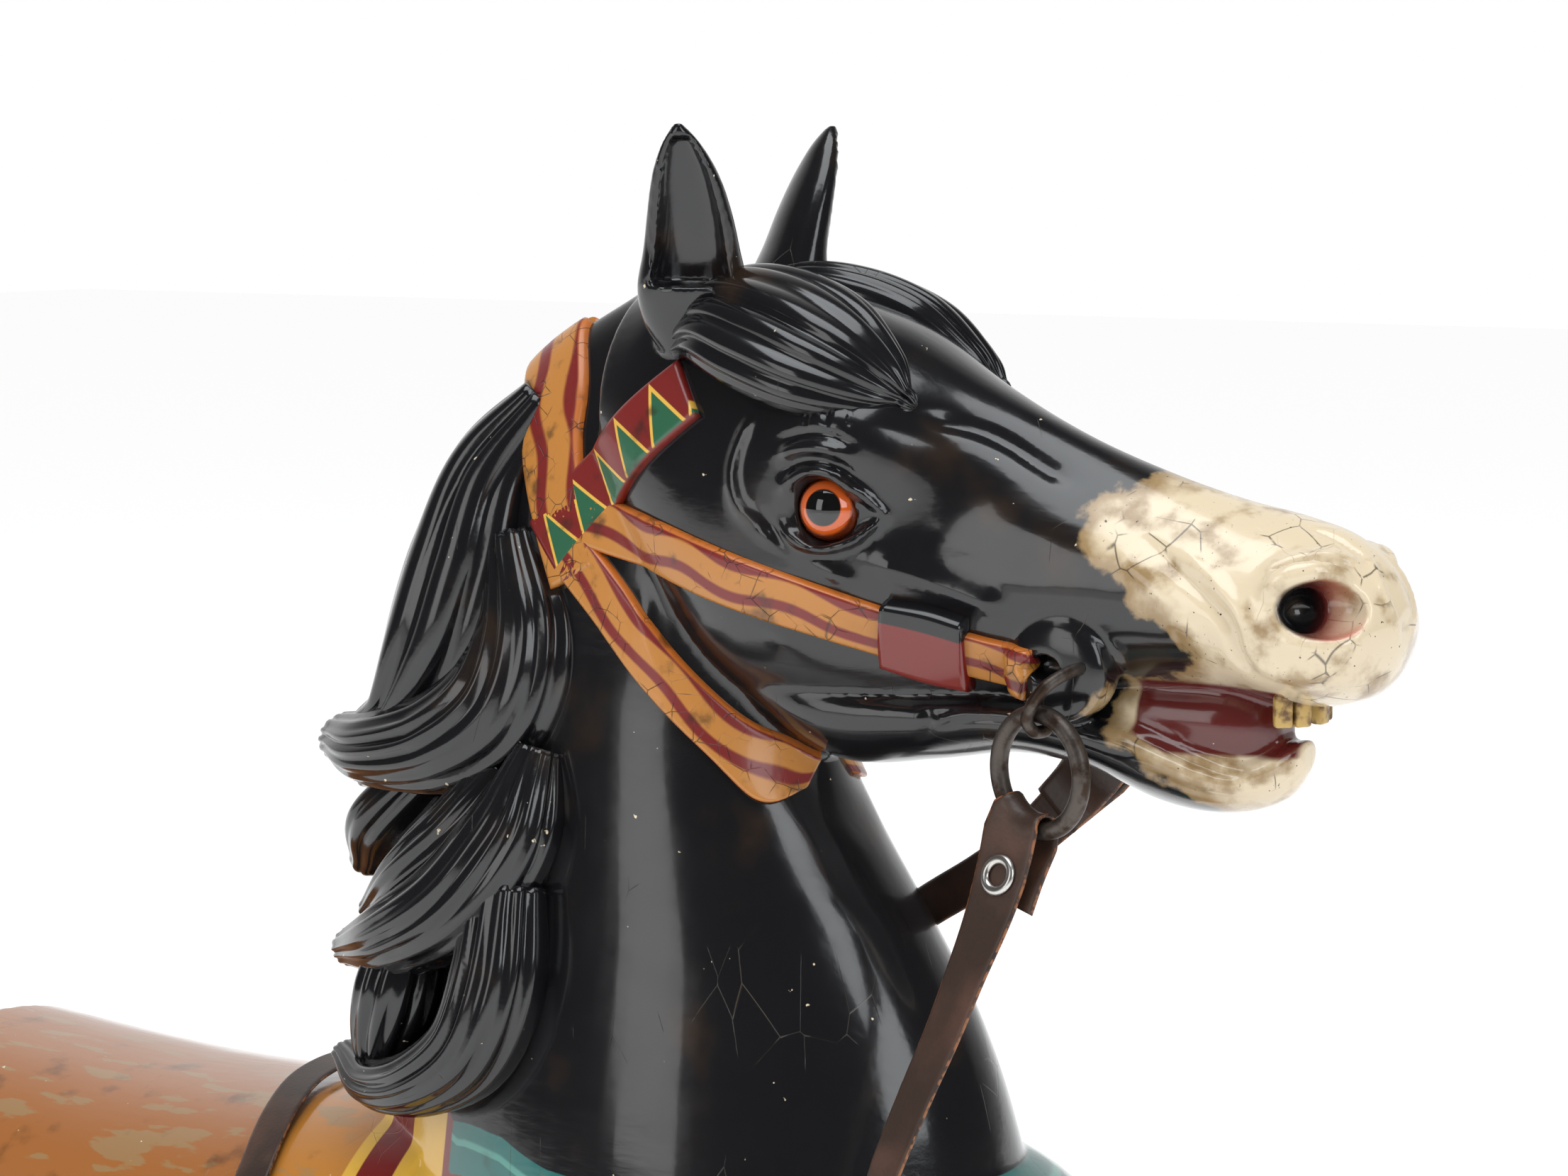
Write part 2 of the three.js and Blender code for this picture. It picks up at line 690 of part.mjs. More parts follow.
// The doubled end behind the strap at each ring, in the same columns, from the fold to the cut end.
const TAIL_RIGHT = [
  [388.5, -63.5, 343, 36, 4, 0.89, -0.28, -0.36],
  [386.5, -72, 329, 33, 1, 0.9, -0.28, -0.3],
  [385, -79.5, 313, 31, 0, 0.93, -0.29, -0.2],
];
const TAIL_LEFT = [
  [351, 65, 354.5, 36, 4, 0.71, 0, -0.7],
  [340, 72, 343, 33, 1, 0.71, 0, -0.7],
  [327, 73.5, 330, 31, 0, 0.7, 0, -0.71],
];

function strapRow([x, y, z, width, curl, ax, ay, az], upwards) {
  const across = V(ax, ay, az).normalize();
  return COLUMNS.map((share) => V(x, y, z).addScaledVector(across, (share * width) / 2)
    .addScaledVector(upwards, curl * share * share));
}

// Closed slab round a grid of points, half its thickness to each side.
function slab(grid, thickness) {
  const [rows, columns] = [grid.length, grid[0].length];
  const clamp = (v, most) => Math.min(Math.max(v, 0), most);
  const normal = (r, c) => {
    const along = grid[clamp(r + 1, rows - 1)][c].clone().sub(grid[clamp(r - 1, rows - 1)][c]);
    const over = grid[r][clamp(c + 1, columns - 1)].clone().sub(grid[r][clamp(c - 1, columns - 1)]);
    return along.cross(over).normalize();
  };
  const rings = grid.map((row, r) => [1, -1].flatMap((way) => {
    const edge = row.map((p, c) => p.clone().addScaledVector(normal(r, c), (way * thickness) / 2));
    return way > 0 ? edge : edge.reverse();
  }));
  return loft(rings);
}

function rein() {
  const up = { right: RINGS.right.down.clone().negate(), left: RINGS.left.down.clone().negate() };
  const turns = [0, 0.25, 0.5, 0.75, 1];
  const run = alongRows(REIN_RUN);
  const runRow = (_, i) => strapRow(run(i / RUN_ROWS), i < RUN_ROWS / 2 ? up.right : up.left);
  const grid = [
    ...TAIL_RIGHT.map((row) => strapRow(row, up.right)).reverse(),
    ...turns.map((turn) => foldRow(RINGS.right, FOLD_TURNED.right, turn)).reverse(),
    ...Array.from({ length: RUN_ROWS + 1 }, runRow),
    ...turns.map((turn) => foldRow(RINGS.left, FOLD_TURNED.left, turn)),
    ...TAIL_LEFT.map((row) => strapRow(row, up.left)),
  ];
  return slab(grid, STRAP_THICKNESS);
}

// Pressed metal eyelet on the strap's outer face.
const EYELETS = {
  right: { at: V(379.5, -80, 327), facing: V(-0.177, -0.925, 0.332) },
  left: { at: V(341, 77.5, 344), facing: V(0, 1, 0) },
};
function eyelet({ at, facing }) {
  const outline = [[5.5, 0], [10.5, 0], [9.8, 1.8], [6.6, 2], [5.5, 0]];
  const ring = new THREE.LatheGeometry(outline.map(([r, y]) => new THREE.Vector2(r, y)), 12);
  const normal = facing.clone().normalize();
  ring.applyQuaternion(new THREE.Quaternion().setFromUnitVectors(V(0, 1, 0), normal));
  const seat = at.clone().addScaledVector(normal, STRAP_THICKNESS / 2 + 3 * GAP);
  return ring.translate(seat.x, seat.y, seat.z);
}

// ---------------------------------------------------------------- the part

const LOOKS = {
  paint: { color: 0x0d0d0e, roughness: 0.28, metalness: 0 },
  glass: { color: 0x2a0f08, roughness: 0.05, metalness: 0 },
  iron: { color: 0x3b3431, roughness: 0.45, metalness: 0.9 },
  leather: { color: 0x4a2a1b, roughness: 0.8, metalness: 0 },
  nickel: { color: 0xb9b4aa, roughness: 0.3, metalness: 1 },
};
const group = new THREE.Group();

function piece(name, made, look) {
  const mesh = new THREE.Mesh(geometryOf(made), new THREE.MeshStandardMaterial(look));
  mesh.name = name;
  group.add(mesh);
}

piece("horse", withoutPockets(carved.subtract(hollows)), LOOKS.paint);
piece("rein", solid(rein()), LOOKS.leather);
for (const [name, ring] of Object.entries(RINGS)) {
  piece(`eye_${name}`, solid(eyeball(ring.side)), LOOKS.glass);
  piece(`bit_hook_${name}`, solid(bitHook(ring.side)).subtract(carved), LOOKS.iron);
  piece(`rein_ring_${name}`, solid(reinRing(ring)), LOOKS.iron);
  piece(`rein_eyelet_${name}`, solid(eyelet(EYELETS[name])), LOOKS.nickel);
}

export default group;
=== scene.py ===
# %% [markdown]
# # A carved and painted carousel horse
# The horse is a bust: head, neck, mane, shoulders and the front of the saddle, cut off flat below. On the
# real one the whole figure is glued up from blocks of wood, carved, primed and painted many times over.
# Only the glass eyes, the iron hooks and rings, the leather rein and its metal eyelets are separate
# things. This lesson builds the carved figure as one skin, then adds the pieces that were fixed to it.

# %% Load the frame
import math

import bmesh
import bpy
import numpy as np
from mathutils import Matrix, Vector
from mathutils.bvhtree import BVHTree


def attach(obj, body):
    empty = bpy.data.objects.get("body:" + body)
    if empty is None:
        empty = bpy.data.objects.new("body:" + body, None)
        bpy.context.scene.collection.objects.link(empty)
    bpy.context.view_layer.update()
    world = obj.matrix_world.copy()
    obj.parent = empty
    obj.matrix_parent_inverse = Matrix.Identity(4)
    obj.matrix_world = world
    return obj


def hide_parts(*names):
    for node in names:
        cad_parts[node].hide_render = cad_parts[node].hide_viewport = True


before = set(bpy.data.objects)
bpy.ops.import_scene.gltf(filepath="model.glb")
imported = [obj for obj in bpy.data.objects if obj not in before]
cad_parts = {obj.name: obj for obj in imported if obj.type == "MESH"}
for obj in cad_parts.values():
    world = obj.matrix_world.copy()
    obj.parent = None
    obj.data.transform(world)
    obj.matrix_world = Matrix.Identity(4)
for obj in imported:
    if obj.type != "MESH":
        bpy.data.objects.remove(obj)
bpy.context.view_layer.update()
MM = 0.001
print("frame nodes:", sorted(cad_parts))

# %% [markdown]
# ## Camera, floor and light
# The horse stands on a pale floor in a white studio, and its gloss paint shows long soft reflections. A
# white world alone would make black gloss look grey and flat, so large soft lamps carry the shapes: each
# one draws its own bright streak along a rounded form.

# %% Camera
TARGET = Vector((0.2, 0.0, 0.45))
AZIMUTH, ELEVATION, DISTANCE = math.radians(33), math.radians(7), 1.87
towards = Vector((-math.sin(AZIMUTH) * math.cos(ELEVATION), math.cos(AZIMUTH) * math.cos(ELEVATION),
                  -math.sin(ELEVATION)))
camera_data = bpy.data.cameras.new("camera")
camera_data.lens = 80
camera_data.sensor_width = 36
camera = bpy.data.objects.new("camera", camera_data)
camera.location = TARGET - DISTANCE * towards
camera.rotation_euler = towards.to_track_quat("-Z", "Y").to_euler()
bpy.context.scene.collection.objects.link(camera)
bpy.context.scene.camera = camera

# %% One helper for every node


def add_node(tree, kind, settings=None, inputs=None):
    """Makes a node. A setting is an attribute, an input is a value or a socket to link from."""
    made = tree.nodes.new(kind)
    for key, value in (settings or {}).items():
        setattr(made, key, value)
    for key, value in (inputs or {}).items():
        if isinstance(value, bpy.types.NodeSocket):
            tree.links.new(value, made.inputs[key])
        else:
            made.inputs[key].default_value = value
    return made


# %% Floor
bm = bmesh.new()
bmesh.ops.create_grid(bm, x_segments=1, y_segments=1, size=12)
floor_mesh = bpy.data.meshes.new("floor")
bm.to_mesh(floor_mesh)
bm.free()
floor = bpy.data.objects.new("floor", floor_mesh)
bpy.context.scene.collection.objects.link(floor)
floor.location.z = -0.0005
floor_paint = bpy.data.materials.new("pale floor")
floor_paint.use_nodes = True
floor_paint.node_tree.nodes["Principled BSDF"].inputs["Base Color"].default_value = (0.97, 0.97, 0.97, 1)
floor_paint.node_tree.nodes["Principled BSDF"].inputs["Specular IOR Level"].default_value = 0.0
floor_paint.node_tree.nodes["Principled BSDF"].inputs["Roughness"].default_value = 0.9
floor_mesh.materials.append(floor_paint)
print("floor:", floor.name, "is staged and isn't part of the horse")

# %% World: white to see and to light by, dark in the paint's reflections on the camera's side
world = bpy.data.worlds.new("studio")
world.use_nodes = True
bpy.context.scene.world = world
bpy.context.scene.view_settings.view_transform = "Standard"
tree = world.node_tree
DARK_STUDIO, BRIGHT_STUDIO = 0.05, 0.8
direction = add_node(tree, "ShaderNodeTexCoord").outputs["Generated"]
behind = add_node(tree, "ShaderNodeVectorMath", {"operation": "DOT_PRODUCT"}, {0: direction, 1: towards})
studio = add_node(tree, "ShaderNodeMapRange", inputs={
    "Value": behind.outputs["Value"], "From Min": 0.25, "From Max": 0.8, "To Min": DARK_STUDIO,
    "To Max": BRIGHT_STUDIO})
glossy = add_node(tree, "ShaderNodeLightPath").outputs["Is Glossy Ray"]
choice = add_node(tree, "ShaderNodeMix", inputs={"Factor": glossy, "A": 1.0, "B": studio.outputs["Result"]})
tree.links.new(choice.outputs["Result"], tree.nodes["Background"].inputs["Strength"])
tree.nodes["Background"].inputs["Color"].default_value = (1, 1, 1, 1)
print("studio brightness in reflections:", DARK_STUDIO, "to", BRIGHT_STUDIO)


# %% Soft lamps
def soft_lamp(name, place, aim, size, power, colour=(1, 1, 1)):
    data = bpy.data.lights.new(name, "AREA")
    data.shape = "RECTANGLE"
    data.size, data.size_y = size
    data.energy = power
    data.color = colour
    lamp = bpy.data.objects.new(name, data)
    lamp.location = place
    lamp.rotation_euler = (Vector(aim) - Vector(place)).to_track_quat("-Z", "Y").to_euler()
    bpy.context.scene.collection.objects.link(lamp)
    return lamp


soft_lamp("overhead", (0.3, -0.5, 2.6), (0.2, 0, 0.4), (1.6, 1.6), 26, (0.93, 0.97, 1.0))
soft_lamp("front", (2.6, -1.0, 1.6), (0.2, 0, 0.4), (1.0, 1.6), 16, (0.93, 0.97, 1.0))
soft_lamp("side", (-0.6, -2.6, 1.2), (0.1, 0, 0.3), (1.0, 1.6), 10)
print("lamps:", [light.name for light in bpy.data.lights])

# %% [markdown]
# ## Tables, curves and lofts
# Each carved form is a loft: a few measured sections, and a smooth curve through them. One grid, bent
# round the sections and closed at both ends, gives a watertight form. It also keeps two numbers on every
# point, how far along and how far round it is, and patterns follow the surface by them later.


# %% A smooth curve through the rows of a table
def smooth_table(rows):
    rows = np.array(rows, float)
    t, values = rows[:, 0], rows[:, 1:]
    secant = np.diff(values, axis=0) / np.diff(t)[:, None]
    slope = np.vstack([secant[:1], (secant[1:] + secant[:-1]) / 2, secant[-1:]])

    def at(x):
        x = np.atleast_1d(np.asarray(x, float))
        i = np.clip(np.searchsorted(t, x, "right") - 1, 0, len(t) - 2)
        step = (t[i + 1] - t[i])[:, None]
        p = (x - t[i])[:, None] / step
        return ((1 + 2 * p) * (1 - p) ** 2 * values[i] + p * (1 - p) ** 2 * step * slope[i]
                + p ** 2 * (3 - 2 * p) * values[i + 1] + p ** 2 * (p - 1) * step * slope[i + 1])

    return at


def along_rows(rows):
    rows = np.array(rows, float)
    return smooth_table(np.column_stack([np.linspace(0, 1, len(rows)), rows]))


def unit(vectors):
    vectors = np.asarray(vectors, float)
    return vectors / np.maximum(np.linalg.norm(vectors, axis=-1, keepdims=True), 1e-9)


# %% A closed form from a grid bent round its sections
def loft(rings, along=None, across=None):
    rows, around = rings.shape[:2]
    bm = bmesh.new()
    bmesh.ops.create_grid(bm, x_segments=around, y_segments=rows - 1, size=0.5)
    wrapped = np.concatenate([rings, rings[:, :1]], axis=1).reshape(-1, 3) * MM
    along = np.linspace(0, 1, rows) if along is None else along
    across = np.linspace(0, 1, around + 1) if across is None else np.append(across, across[0])
    layer_along = bm.verts.layers.float.new("along")
    layer_across = bm.verts.layers.float.new("across")
    for i, vert in enumerate(bm.verts):
        vert.co = wrapped[i]
        vert[layer_along] = along[i // (around + 1)]
        vert[layer_across] = across[i % (around + 1)]
    bmesh.ops.remove_doubles(bm, verts=bm.verts, dist=1e-6)
    bmesh.ops.holes_fill(bm, edges=[e for e in bm.edges if e.is_boundary], sides=0)
    bmesh.ops.triangulate(bm, faces=[f for f in bm.faces if len(f.verts) > 4])
    bmesh.ops.recalc_face_normals(bm, faces=bm.faces)
    mesh = bpy.data.meshes.new("form")
    bm.to_mesh(mesh)
    bm.free()
    return mesh


def gather(name, meshes):
    bm = bmesh.new()
    for mesh in meshes:
        bm.from_mesh(mesh)
        bpy.data.meshes.remove(mesh)
    whole = bpy.data.meshes.new(name)
    bm.to_mesh(whole)
    bm.free()
    whole.shade_smooth()
    piece = bpy.data.objects.new(name, whole)
    bpy.context.scene.collection.objects.link(piece)
    return piece


def settle(piece):
    """Turns the piece's modifiers into plain mesh."""
    bpy.context.view_layer.update()
    ready = bpy.data.meshes.new_from_object(piece.evaluated_get(bpy.context.evaluated_depsgraph_get()))
    old = piece.data
    piece.modifiers.clear()
    piece.data = ready
    bpy.data.meshes.remove(old)
    return piece


def points_of(mesh):
    co = np.empty(len(mesh.vertices) * 3, np.float32)
    mesh.vertices.foreach_get("co", co)
    return co.reshape(-1, 3).astype(float) / MM


def move_points(mesh, co):
    mesh.vertices.foreach_set("co", (co * MM).astype(np.float32).ravel())
    mesh.update()


# %% [markdown]
# ## Head
# The skull and the lower jaw are two lofts along the nose. Soft swellings then bring out the brow, the
# cheek and the lip, and hollows sink the temple, as a carver would after blocking out the head.

# %% Head tables
SKULL = [
    (112, 606, 470, 36, 48, 42), (140, 613, 420, 48, 60, 54), (180, 616, 375, 54, 70, 62),
    (230, 610, 366, 54, 74, 70), (280, 594, 368, 48, 71, 72), (330, 565, 384, 44, 60, 52),
    (380, 541, 400, 43, 54, 40), (430, 523, 413, 42, 50, 37), (470, 512, 416, 42, 50, 38),
    (505, 505, 413, 44, 52, 40), (532, 496, 416, 42, 47, 35), (550, 480, 428, 28, 33, 24),
    (557, 466, 444, 9, 11, 8),
]
JAW = [
    (200, 440, 372, 30, 46, 42), (250, 420, 361, 36, 50, 48), (300, 412, 367, 32, 45, 46),
    (350, 410, 375, 28, 40, 44), (395, 406, 370, 26, 38, 42), (430, 404, 358, 26, 37, 38),
    (460, 394, 355, 26, 34, 34), (484, 388, 359, 22, 29, 30), (500, 394, 368, 15, 20, 21),
    (508, 396, 380, 6, 8, 8),
]
MOUTH = [(392, 425, 380, 20, 24, 22), (440, 424, 376, 22, 26, 24), (480, 424, 374, 18, 22, 20),
         (496, 420, 376, 8, 10, 8)]
SWELLINGS = [  # centre, radius and push of its middle
    ((285, 68, 540), (42, 36, 26), (0, 12, 6)),
    ((225, 70, 440), (60, 40, 60), (0, 9, -2)),
    ((276, 80, 494), (30, 22, 17), (0, -5, 0)),
    ((330, 62, 500), (34, 26, 22), (0, -5, 0)),
    ((512, 48, 430), (36, 22, 16), (0, 6, -2)),
]


def rounded(v, power):
    return np.sign(v) * np.abs(v) ** power


def width_at(t, low, middle, high):
    a, b, c = 0.15, 0.5, 0.85
    return (low * (t - b) * (t - c) / ((a - b) * (a - c)) + middle * (t - a) * (t - c) / ((b - a) * (b - c))
            + high * (t - a) * (t - b) / ((c - a) * (c - b)))


def swell(points, centre, radius, push):
    for side in (1, -1):
        offset = (points - np.array(centre) * (1, side, 1)) / radius
        share = np.exp(-(offset ** 2).sum(-1))[..., None]
        points = points + share * np.array(push) * (1, side, 1)
    return points


def head_rings(table, step=4.0, around=96):
    at = smooth_table(table)
    x = np.linspace(table[0][0], table[-1][0], int((table[-1][0] - table[0][0]) / step) + 1)
    top, bottom, low, middle, high = (column[:, None] for column in at(x).T)
    angle = 2 * np.pi * np.arange(around) / around
    up, out = rounded(np.cos(angle), 0.84), rounded(np.sin(angle), 0.84)
    height = (top + bottom) / 2 + up * (top - bottom) / 2
    width = out * width_at((up + 1) / 2, low, middle, high)
    return np.stack([np.broadcast_to(x[:, None], height.shape), width, height], -1)


skull = head_rings(SKULL)
for swelling in SWELLINGS:
    skull = swell(skull, *swelling)
forms = [loft(skull), loft(head_rings(JAW)), loft(head_rings(MOUTH))]
print("head forms:", len(forms))

# %% Neck and body
NECK = [
    (0, 114, 610, 225, 420, 48), (1, 41, 566, 232, 352, 60), (2, -8, 500, 258, 310, 66),
    (3, -36, 420, 289, 266, 76), (4, -54, 330, 318, 215, 92), (5, -72, 240, 338, 155, 112),
    (6, -86, 150, 351, 85, 128), (7, -108, 60, 350, -10, 138),
]
BODY = [
    (-415, 130, 150), (-330, 125, 150), (-240, 123, 150), (-150, 128, 148), (-60, 143, 148),
    (40, 160, 150), (140, 172, 152), (220, 174, 151), (290, 166, 146), (340, 148, 134),
    (375, 116, 108), (392, 74, 74), (397, 36, 40),
]
SADDLE_END, SADDLE_RAISED = 22, 4


def neck_rings(steps=110, around=120):
    cx, cz, tx, tz, w = (column[:, None] for column in smooth_table(NECK)(np.linspace(0, 7, steps)).T)
    angle = 2 * np.pi * np.arange(around) / around
    t = (rounded(np.cos(angle), 0.9) + 1) / 2
    out = rounded(np.sin(angle), 0.9)
    return np.stack([tx + (cx - tx) * t, out * width_at(t, w * 0.98, w, w * 0.72), tz + (cz - tz) * t], -1)


def body_rings(start, end, extra=0.0, step=6.0, around=120):
    x = np.linspace(start, end, int((end - start) / step) + 1)
    top, w = (column[:, None] for column in smooth_table(BODY)(x).T)
    angle = 2 * np.pi * np.arange(around) / around
    y = (w + extra) * rounded(np.sin(angle), 0.9)
    z = (top + extra) * rounded(np.cos(angle), 0.9)
    return np.stack([np.broadcast_to(x[:, None], y.shape), y, z], -1)


forms += [loft(neck_rings()), loft(body_rings(-415, 397)), loft(body_rings(-415, SADDLE_END, SADDLE_RAISED))]

# %% Ears
EAR_BASE, EAR_TIP, EAR_FACING = np.array([170, 43, 592.0]), np.array([183.5, 74.3, 696.8]), (0.5, 0.86, 0)
EAR_SHAPE = [(-0.2, 12, 9), (0, 25, 17), (0.18, 29, 20), (0.38, 25.5, 15), (0.58, 22, 12.5), (0.78, 16.5, 9.5),
             (0.92, 9, 6.5), (1, 2.5, 2.5)]


def ear_rings(side, start, end, wide, deep, forward, steps=40, around=48):
    mirror = np.array([1, side, 1.0])
    face = unit(np.array(EAR_FACING) * mirror)
    over = np.array([-face[1], face[0], 0])
    t = np.linspace(start, end, steps)[:, None]
    w, d = (column[:, None] for column in smooth_table(EAR_SHAPE)(t[:, 0]).T)
    middle = EAR_BASE + (EAR_TIP - EAR_BASE) * t
    middle[:, 1] -= 5 * np.sin(np.pi * t[:, 0])
    middle = middle * mirror + face * d * forward
    angle = 2 * np.pi * np.arange(around) / around
    return (middle[:, None] + over * (np.cos(angle) * w * wide)[..., None]
            + face * (np.sin(angle) * d * deep)[..., None])


forms += [loft(ear_rings(side, -0.2, 1, 1, 1, 0)) for side in (1, -1)]
cutters = [loft(ear_rings(side, 0.2, 0.93, 0.74, 0.95, 0.8)) for side in (1, -1)]
print("forms:", len(forms), "cutters:", len(cutters))


# %% [markdown]
# ## Locks, lids and rims
# A lock of carved hair is a tapered sweep whose face is cut into strands: the grooves are sharp, because a
# gouge cuts them, and the strands between them are round. The same sweep without strands makes an eyelid
# or the rim of a nostril. Past its last row the sweep shrinks along a quarter circle, so it ends rounded.


# %% A tapered sweep with strands on its face
def sweep_rings(rows, facing, side=1, strands=0, groove=0.24, steps=60, around=64, wander=0.0, parted=0.0, seed=0):
    at = along_rows(rows)
    t = np.linspace(0, 1, steps)
    mirror = np.array([1, side, 1.0])
    values = at(t)
    place, wide, deep = values[:, :3] * mirror, values[:, 3], values[:, 4]
    tangent = unit((at(np.minimum(t + 0.02, 1)) - at(np.maximum(t - 0.02, 0)))[:, :3] * mirror)
    bow = np.linspace(0, np.pi / 2, 7)[1:]
    place = np.vstack([place, place[-1] + tangent[-1] * (np.sin(bow) * min(wide[-1], deep[-1]))[:, None]])
    wide = np.maximum(np.append(wide, wide[-1] * np.cos(bow)), 0.25)
    deep = np.maximum(np.append(deep, deep[-1] * np.cos(bow)), 0.25)
    tangent = np.vstack([tangent, np.repeat(tangent[-1:], len(bow), 0)])
    t = np.append(t, np.ones(len(bow)))
    face = unit(np.array(facing) * mirror)
    over = unit(np.cross(tangent, face))
    up = np.cross(over, tangent)
    angle = 2 * np.pi * np.arange(around) / around
    reach = np.ones((len(t), around))
    if strands:
        chance = np.random.default_rng(seed)
        drift = wander * np.sin(2 * np.pi * (t * chance.uniform(0.6, 1.1) + chance.random()))[:, None]
        phase = strands * (angle[None] + drift)
        front = np.clip(np.sin(angle) * 3, 0, 1)[None]
        depth = 0.75 + 0.35 * np.sin(angle * 5.3 + seed)[None]
        deeper = 1 + parted * np.clip(t * 4 - 3, 0, 1)[:, None]
        reach -= groove * deeper * depth * front * (1 - np.abs(np.sin(phase)) ** 0.6)
    rings = (place[:, None] + over[:, None] * (np.cos(angle) * wide[:, None] * reach)[..., None]
             + up[:, None] * (np.sin(angle) * deep[:, None] * reach)[..., None])
    length = np.append(0, np.cumsum(np.linalg.norm(np.diff(place, axis=0), axis=1)))
    return rings, length, angle / (2 * np.pi)


LIDS = [
    [(243, 72, 500, 1, 1), (252, 77, 514, 3.5, 3.5), (271, 78.5, 522, 4, 4.5), (289, 75, 515, 3.5, 3.5),
     (304, 68, 501, 1, 1)],
    [(243, 73, 500, 1, 1), (254, 77, 488, 3, 3), (271, 77.5, 482, 3.2, 3.5), (288, 74, 487, 3, 3),
     (304, 67, 500, 1, 1)],
]
NOSTRIL_RIM = [(502, 47, 468, 3, 3), (512, 47, 479, 6, 5), (527, 40, 484, 6, 4), (538, 28, 480, 4, 3),
               (543, 20, 472, 1, 1)]
for side in (1, -1):
    forms += [loft(sweep_rings(rows, (0.2, 1, 0), side, around=24)[0]) for rows in LIDS]
    forms.append(loft(sweep_rings(NOSTRIL_RIM, (0.5, 0.8, 0.3), side, around=24)[0]))

# %% [markdown]
# ## One skin for the carving
# The forms overlap, as glued blocks do. A voxel remesh wraps them in one skin, and the nostrils, the eye
# sockets, the ear cups and the half-moon holes by the mouth are then cut out of it. A second remesh
# rounds the cut edges over, as many coats of paint do on the real one.

# %% Bosses at the mouth, and the cutters
BOSS_AT = np.array([394, 44, 427.0])
EYE_AT, EYE_RADIUS = np.array([271, 63, 502.0]), 17.5
EYE_DISH_OUT, EYE_DISH_HALF = (0, 17, 0), (19, 12, 18)
NOSTRIL_AT, NOSTRIL_HALF = np.array([534, 44, 466.0]), (23, 19, 14)
NOSTRIL_DEEP_AT, NOSTRIL_DEEP_HALF = np.array([519, 36, 464.0]), (12, 15, 11)
GAP = 0.3


def turned_disc(side, outline, at, scale=(1, 1), around=64):
    angle = 2 * np.pi * np.arange(around) / around
    rings = np.array([[(at[0] + r * scale[0] * math.cos(a), (at[1] + depth) * side, at[2] + r * scale[1] * math.sin(a))
                       for a in angle] for r, depth in outline])
    return loft(rings)


def ball(at, half, turn=0.0):
    bm = bmesh.new()
    bmesh.ops.create_uvsphere(bm, u_segments=48, v_segments=32, radius=MM)
    bmesh.ops.scale(bm, verts=bm.verts, vec=half)
    turning = np.array([[math.cos(turn), -math.sin(turn), 0], [math.sin(turn), math.cos(turn), 0], [0, 0, 1]])
    for vert in bm.verts:
        vert.co = Vector(turning @ np.array(vert.co)) + Vector(at) * MM
    mesh = bpy.data.meshes.new("ball")
    bm.to_mesh(mesh)
    bm.free()
    return mesh


BOSS_OUTLINE = [(0.5, -12), (26, -12), (27, -6), (27, 3), (26.4, 5.5), (25, 7.6), (22, 9.6), (16, 10.8), (8, 11.6),
                (0.5, 12)]
HALF_MOON, HALF_MOON_SET_BACK, HALF_MOON_SCALE = [(0.5, -4), (8, -4), (9, 22), (0.5, 22)], (-6, 0, 1), (1.05, 0.72)
for side in (1, -1):
    mirror = np.array([1, side, 1.0])
    forms.append(turned_disc(side, BOSS_OUTLINE, BOSS_AT))
    cutters.append(turned_disc(side, HALF_MOON, BOSS_AT + HALF_MOON_SET_BACK, HALF_MOON_SCALE))
    cutters.append(ball(EYE_AT * mirror, [EYE_RADIUS + GAP] * 3))
    cutters.append(ball((EYE_AT + EYE_DISH_OUT) * mirror, EYE_DISH_HALF))
    cutters.append(ball(NOSTRIL_AT * mirror, NOSTRIL_HALF, -0.75 * side))
    cutters.append(ball(NOSTRIL_DEEP_AT * mirror, NOSTRIL_DEEP_HALF, -0.3 * side))


# %% Wrap and cut
def wrap(piece, voxel):
    remesh = piece.modifiers.new("wrap", "REMESH")
    remesh.mode = "VOXEL"
    remesh.voxel_size = voxel * MM
    remesh.use_smooth_shade = True
    return settle(piece)


def cut(piece, cutter):
    boolean = piece.modifiers.new("cut", "BOOLEAN")
    boolean.operation = "DIFFERENCE"
    boolean.solver = "MANIFOLD"
    boolean.object = cutter
    settle(piece)
    bpy.data.objects.remove(cutter)


def soften(piece, times, factor=0.5):
    smooth = piece.modifiers.new("soften", "SMOOTH")
    smooth.factor, smooth.iterations = factor, times
    return settle(piece)


SKIN_GRAIN = 1.8
horse = gather("carved_horse", forms)
wrap(horse, SKIN_GRAIN)
for each in cutters:
    cut(horse, gather("cutter", [each]))
wrap(horse, SKIN_GRAIN)
soften(horse, 5)
print("skin:", len(horse.data.vertices), "points")

# %% Cut flat below
bm = bmesh.new()
bm.from_mesh(horse.data)
bmesh.ops.bisect_plane(bm, geom=bm.verts[:] + bm.edges[:] + bm.faces[:], plane_co=(0, 0, 0), plane_no=(0, 0, -1),
                       clear_outer=True)
bmesh.ops.holes_fill(bm, edges=[e for e in bm.edges if e.is_boundary], sides=0)
bmesh.ops.triangulate(bm, faces=[f for f in bm.faces if len(f.verts) > 4])
bm.to_mesh(horse.data)
bm.free()
print("cut flat; lowest point", round(points_of(horse.data)[:, 2].min(), 3), "mm")

# %% [markdown]
# ## Carving the face
# Folds, wrinkles and veins are too fine for the lofts. A carver cuts them with a gouge along a line, and
# the same works on the skin: every point near a drawn line moves out or in along its normal, most at the
# line itself. The hidden cheek gets the same strokes, mirrored.

